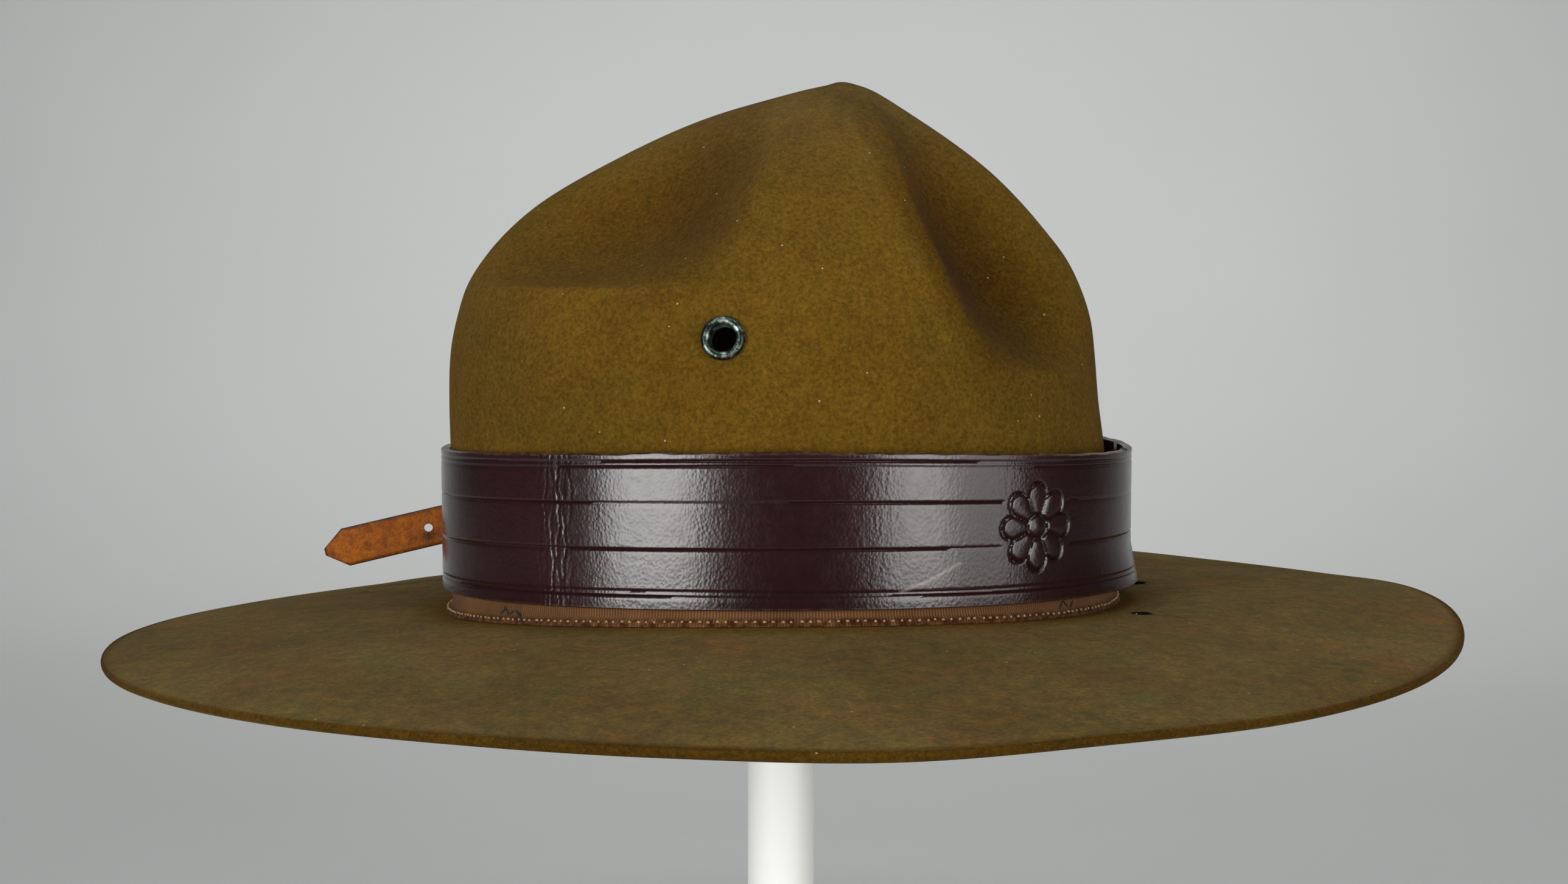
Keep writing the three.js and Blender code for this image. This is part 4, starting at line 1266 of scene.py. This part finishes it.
class HAT_OT_strap(bpy.types.Operator):
    """Make the russet strap, its tab and its buckle"""

    bl_idname = "hat.strap"
    bl_label = "Strap and buckle"

    def execute(self, context):
        settings = context.scene.hat_strap
        leather = russet_finish(settings.colour)
        straight = STRAP_END - STRAP_POINT
        distance = np.concatenate([
            np.linspace(STRAP_START, -BAR_REACH, 36)[:-1],
            np.linspace(-BAR_REACH, STRAP_LEAVE + STRAP_SETTLE, 60)[:-1],
            np.linspace(STRAP_LEAVE + STRAP_SETTLE, straight, 90)[:-1],
            np.linspace(straight, STRAP_END, 14),
        ])
        centre = strap_centre(distance)
        outward, upward = strap_frame(distance)
        half = strap_half_width(distance)
        section = self.section(12)
        across, thick = section.T
        width = across[:, None] * half[None, :]
        depth = thick * STRAP_THICKNESS / 2
        grid = (centre[None] + outward[None] * depth[:, None, None]
                + upward[None] * width[..., None])
        uvs = np.stack(np.broadcast_arrays(distance[None, :], width), axis=-1)
        strap = grid_piece("russet_strap", grid, uvs, open_ends=True)
        for count in (1, 2):
            at = np.array([STRAP_END - STRAP_HOLE_PITCH * (count + 0.7)])
            drill(strap, STRAP_HOLE, STRAP_THICKNESS * 6, strap_centre(at)[0],
                  strap_frame(at)[0][0])
        self.burnish(strap)
        smooth(strap, 50)
        dress(strap, leather)
        place(strap, "russet_leather", "billet_strap")
        tab = softened_copy("buckle_tab", "russet_tab", 0.3)
        add_attribute(tab, "burnish", np.zeros(len(tab.data.vertices)))
        dress(tab, leather)
        place(tab, "russet_leather", "buckle_tab")
        buckle = softened_copy("buckle", "brass_buckle", 0.6)
        dress(buckle, metal_finish("worn_brass", settings.brass, (0.45, 0.34, 0.15), 0.3))
        place(buckle, "buckle_brass", "buckle")
        return {"FINISHED"}

    @staticmethod
    def section(steps):
        """Rounded flat section as shares: (across, through), closed on itself."""
        flat = np.linspace(-0.94, 0.94, steps)
        top = [(a, 1) for a in flat]
        right = [(0.985, 0.72), (1, 0.25), (1, -0.25), (0.985, -0.72)]
        bottom = [(a, -1) for a in flat[::-1]]
        left = [(-0.985, -0.72), (-1, -0.25), (-1, 0.25), (-0.985, 0.72)]
        return np.array(top + right + bottom + left + top[:1])

    @staticmethod
    def burnish(strap):
        """Stores how dark the cut edges and the hole's lip are."""
        places = coordinates(strap)
        fine = np.linspace(STRAP_START, STRAP_END, 1200)
        line = strap_centre(fine)
        _, upward = strap_frame(fine)
        nearest = np.array([np.argmin(((line - p) ** 2).sum(axis=1)) for p in places])
        rise = np.abs(((places - line[nearest]) * upward[nearest]).sum(axis=1))
        distance = fine[nearest]
        half = strap_half_width(distance)
        rim = smoothstep(rise / half, 0.86, 0.99)
        tip = smoothstep(distance, STRAP_END - 0.9, STRAP_END - 0.2)
        hole = np.zeros(len(places))
        for count in (1, 2):
            at = STRAP_END - STRAP_HOLE_PITCH * (count + 0.7)
            worn = np.exp(-((distance - at) / 3.2) ** 2
                          - (((places - line[nearest]) * upward[nearest]).sum(axis=1) + 2.5) ** 2
                          / 9)
            hole = np.maximum(hole, 0.75 * worn)
        add_attribute(strap, "burnish", np.clip(np.maximum.reduce([rim, tip, hole]), 0, 1))


class HAT_OT_eyelets(bpy.types.Operator):
    """Make the two metal vent eyelets"""

    bl_idname = "hat.eyelets"
    bl_label = "Eyelets"

    def execute(self, context):
        settings = context.scene.hat_eyelet
        metal = metal_finish("blackened_metal", settings.colour, settings.rubbed, 0.26)
        bore, rim = EYELET_BORE / 2, EYELET_RIM / 2
        barrel = bore + EYELET_SHEET
        face = -CROWN_WALL - 2.4 * CLEARANCE
        crest = CLEARANCE + EYELET_RIM_THICKNESS
        profile = [
            (bore, face - EYELET_SHEET), (EYELET_INNER_RIM / 2, face - EYELET_SHEET),
            (EYELET_INNER_RIM / 2, face), (barrel, face), (barrel, CLEARANCE),
            (rim - 0.25, CLEARANCE), (rim, CLEARANCE + 0.3), (rim - 0.3, crest - 0.35),
            (rim - 0.9, crest - 0.05), ((rim + bore) / 2, crest), (bore + 0.7, crest - 0.15),
            (bore + 0.25, crest - 0.5), (bore, CLEARANCE), (bore, face - EYELET_SHEET),
        ]
        for side, node in ((-1, "eyelet_right"), (1, "eyelet_left")):
            point, direction = seat_on_crown(side * VENT_ANGLE, HAT_LEVEL + VENT_HEIGHT)
            eyelet = turned_piece(node.replace("eyelet", "vent"), profile, 64)
            stand_on(eyelet, point, direction)
            finish_with(eyelet, "BEVEL", width=0.12 * MM, segments=2, limit_method="ANGLE",
                        angle_limit=math.radians(50))
            smooth(eyelet, 45)
            dress(eyelet, metal)
            place(eyelet, "eyelet_metal", node)
        return {"FINISHED"}


class HAT_OT_stand(bpy.types.Operator):
    """Make the plain white stand: post, cap and foot"""

    bl_idname = "hat.stand"
    bl_label = "Stand"

    def execute(self, context):
        settings = context.scene.hat_stand
        plastic = white_finish("white_plastic", settings.colour, 0.38)
        enamel = white_finish("white_enamel", settings.colour, 0.3)
        cap_low, cap_top = (corner.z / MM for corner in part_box("stand_cap"))
        post_low, post_top = (corner.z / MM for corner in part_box("stand_post"))
        socket = POST_DIAMETER / 2 + CLEARANCE
        cap_radius = CAP_DIAMETER / 2
        dome = [(cap_radius * s, cap_top - CAP_DOME * s * s) for s in np.linspace(0.97, 0, 14)]
        cap_profile = [
            (0, cap_low + SOCKET_DEPTH), (socket, cap_low + SOCKET_DEPTH), (socket, cap_low),
            (cap_radius * 0.75, cap_low), (cap_radius, cap_top - CAP_DOME), *dome,
        ]
        radius = POST_DIAMETER / 2
        post_profile = [
            (0, post_low), (radius, post_low), (radius, (post_low + post_top) / 2),
            (radius, post_top), (0, post_top),
        ]
        outer, collar = BASE_DIAMETER / 2, COLLAR_DIAMETER / 2
        chamfer = BASE_THICKNESS / 4
        top = BASE_THICKNESS + COLLAR_HEIGHT
        base_profile = [
            (0, 0), (outer, 0), (outer, BASE_THICKNESS - chamfer),
            (outer - chamfer, BASE_THICKNESS), (outer * 0.6, BASE_THICKNESS),
            (collar, BASE_THICKNESS), (collar, top - chamfer / 2), (collar - chamfer / 2, top),
            (socket, top), (socket, top - SOCKET_DEPTH), (0, top - SOCKET_DEPTH),
        ]
        for name, profile, sides, bevel, material, slot in (
            ("white_cap", cap_profile, 96, 0.6, plastic, "white_plastic"),
            ("white_post", post_profile, 96, 0.4, plastic, "white_plastic"),
            ("white_foot", base_profile, 160, 0.5, enamel, "white_enamel"),
        ):
            piece = turned_piece(name, profile, sides)
            finish_with(piece, "BEVEL", width=bevel * MM, segments=3, limit_method="ANGLE",
                        angle_limit=math.radians(25))
            smooth(piece, 30)
            dress(piece, material)
            node = {"white_cap": "stand_cap", "white_post": "stand_post",
                    "white_foot": "stand_base"}[name]
            place(piece, slot, node)
        return {"FINISHED"}


# Softboxes round the hat: name, angle from the photo's side, width in m, share of the power
SOFTBOXES = [
    ("softbox_left", -32, 0.55, 1.45),
    ("softbox_right", 39, 0.38, 0.68),
    ("fill_right", 60, 0.5, 0.35),
]
SOFTBOX_LEVEL = 0.31
SOFTBOX_REACH = 1.15
SOFTBOX_HEIGHT = 0.6
ROOM_LIGHT = 0.06


class HAT_OT_stage(bpy.types.Operator):
    """Set the pale floor and backdrop, the studio lights and the camera"""

    bl_idname = "hat.stage"
    bl_label = "Stage, lights and camera"

    def execute(self, context):
        settings = context.scene.hat_stage
        self.paper(settings)
        self.lights(settings)
        self.camera(context)
        context.scene.view_settings.view_transform = "Standard"
        return {"FINISHED"}

    @staticmethod
    def paper(settings):
        """One sheet of pale paper: a floor that curves up into the backdrop."""
        half, near, far, radius, high = 4000, -900, 1500, 700, 3500
        bend = np.radians(np.linspace(0, 90, 25))
        line = np.concatenate([
            [(near, 0), (0, 0)],
            np.stack([far - radius + radius * np.sin(bend), radius * (1 - np.cos(bend))], 1),
            [(far, high)],
        ])
        across = np.array([-half, half])
        grid = points_of(across[None, :], line[:, :1], line[:, 1:])
        uvs = grid[..., :2]
        sheet = grid_piece("studio_paper", grid, uvs)
        smooth(sheet)
        dress(sheet, stage_finish("pale_paper", settings.colour))

    @staticmethod
    def lights(settings):
        def softbox(name, place, aim, width, height, power, spread=180):
            lamp = bpy.data.lights.new(name, "AREA")
            lamp.shape = "RECTANGLE"
            lamp.size, lamp.size_y, lamp.energy = width, height, power
            lamp.spread = math.radians(spread)
            light = bpy.data.objects.new(name, lamp)
            light.location = place
            heading = Vector(aim) - Vector(place)
            light.rotation_euler = heading.to_track_quat("-Z", "Y").to_euler()
            bpy.context.scene.collection.objects.link(light)

        for name, angle, width, share in SOFTBOXES:
            turn = math.radians(angle)
            place = (SOFTBOX_REACH * math.sin(turn), -SOFTBOX_REACH * math.cos(turn),
                     SOFTBOX_LEVEL)
            softbox(name, place, (0, 0, SOFTBOX_LEVEL), width, SOFTBOX_HEIGHT,
                    settings.key_power * share)
        softbox("softbox_above", (0.05, -0.37, 1.35), (0, 0, HAT_LEVEL * MM), 1.1, 0.9,
                settings.top_power)
        softbox("backdrop_light", (-0.4, 0.75, 2.0), (-0.3, 1.5, 0.4), 2.4, 0.5,
                settings.back_power, 90)
        world = bpy.data.worlds.new("studio_room")
        world.use_nodes = True
        world.node_tree.nodes["Background"].inputs["Color"].default_value = (1, 1, 1, 1)
        world.node_tree.nodes["Background"].inputs["Strength"].default_value = ROOM_LIGHT
        bpy.context.scene.world = world

    @staticmethod
    def camera(context):
        azimuth = math.radians(CAMERA_AZIMUTH)
        lens = bpy.data.cameras.new("studio_camera")
        lens.lens, lens.sensor_width = CAMERA_LENS, CAMERA_SENSOR
        lens.clip_start = 0.01
        camera = bpy.data.objects.new("studio_camera", lens)
        camera.location = Vector((CAMERA_DISTANCE * math.sin(azimuth),
                                  -CAMERA_DISTANCE * math.cos(azimuth), CAMERA_HEIGHT)) * MM
        camera.rotation_euler = (math.radians(90 - CAMERA_PITCH), 0,
                                 azimuth - math.radians(CAMERA_YAW))
        context.scene.collection.objects.link(camera)
        context.scene.camera = camera


class HAT_PT_panel(bpy.types.Panel):
    """Lists the pieces of the hat and their settings"""

    bl_label = "Campaign hat"
    bl_idname = "HAT_PT_panel"
    bl_space_type = "VIEW_3D"
    bl_region_type = "UI"
    bl_category = "Campaign hat"

    def draw(self, context):
        for operator, group in STEPS:
            box = self.layout.box()
            box.operator(operator)
            settings = getattr(context.scene, group)
            for key in settings.__annotations__:
                box.prop(settings, key)


# Each operator with the settings that it reads, in the order of making
STEPS = [
    ("hat.felt", "hat_felt"),
    ("hat.ribbon", "hat_ribbon"),
    ("hat.band", "hat_band"),
    ("hat.strap", "hat_strap"),
    ("hat.eyelets", "hat_eyelet"),
    ("hat.stand", "hat_stand"),
    ("hat.stage", "hat_stage"),
]

SETTINGS = {
    "hat_felt": HatFeltSettings,
    "hat_ribbon": HatRibbonSettings,
    "hat_band": HatBandSettings,
    "hat_strap": HatStrapSettings,
    "hat_eyelet": HatEyeletSettings,
    "hat_stand": HatStandSettings,
    "hat_stage": HatStageSettings,
}

OPERATORS = (HAT_OT_felt, HAT_OT_ribbon, HAT_OT_band, HAT_OT_strap, HAT_OT_eyelets,
             HAT_OT_stand, HAT_OT_stage)


def register():
    for group in SETTINGS.values():
        bpy.utils.register_class(group)
    for operator in (*OPERATORS, HAT_PT_panel):
        bpy.utils.register_class(operator)
    for name, group in SETTINGS.items():
        setattr(bpy.types.Scene, name, bpy.props.PointerProperty(type=group))


def unregister():
    for name in SETTINGS:
        delattr(bpy.types.Scene, name)
    for operator in reversed((*OPERATORS, HAT_PT_panel)):
        bpy.utils.unregister_class(operator)
    for group in SETTINGS.values():
        bpy.utils.unregister_class(group)


def main():
    register()
    bpy.ops.hat.felt()
    bpy.ops.hat.ribbon()
    bpy.ops.hat.band()
    bpy.ops.hat.strap()
    bpy.ops.hat.eyelets()
    bpy.ops.hat.stand()
    bpy.ops.hat.stage()


if __name__ == "__main__":
    main()
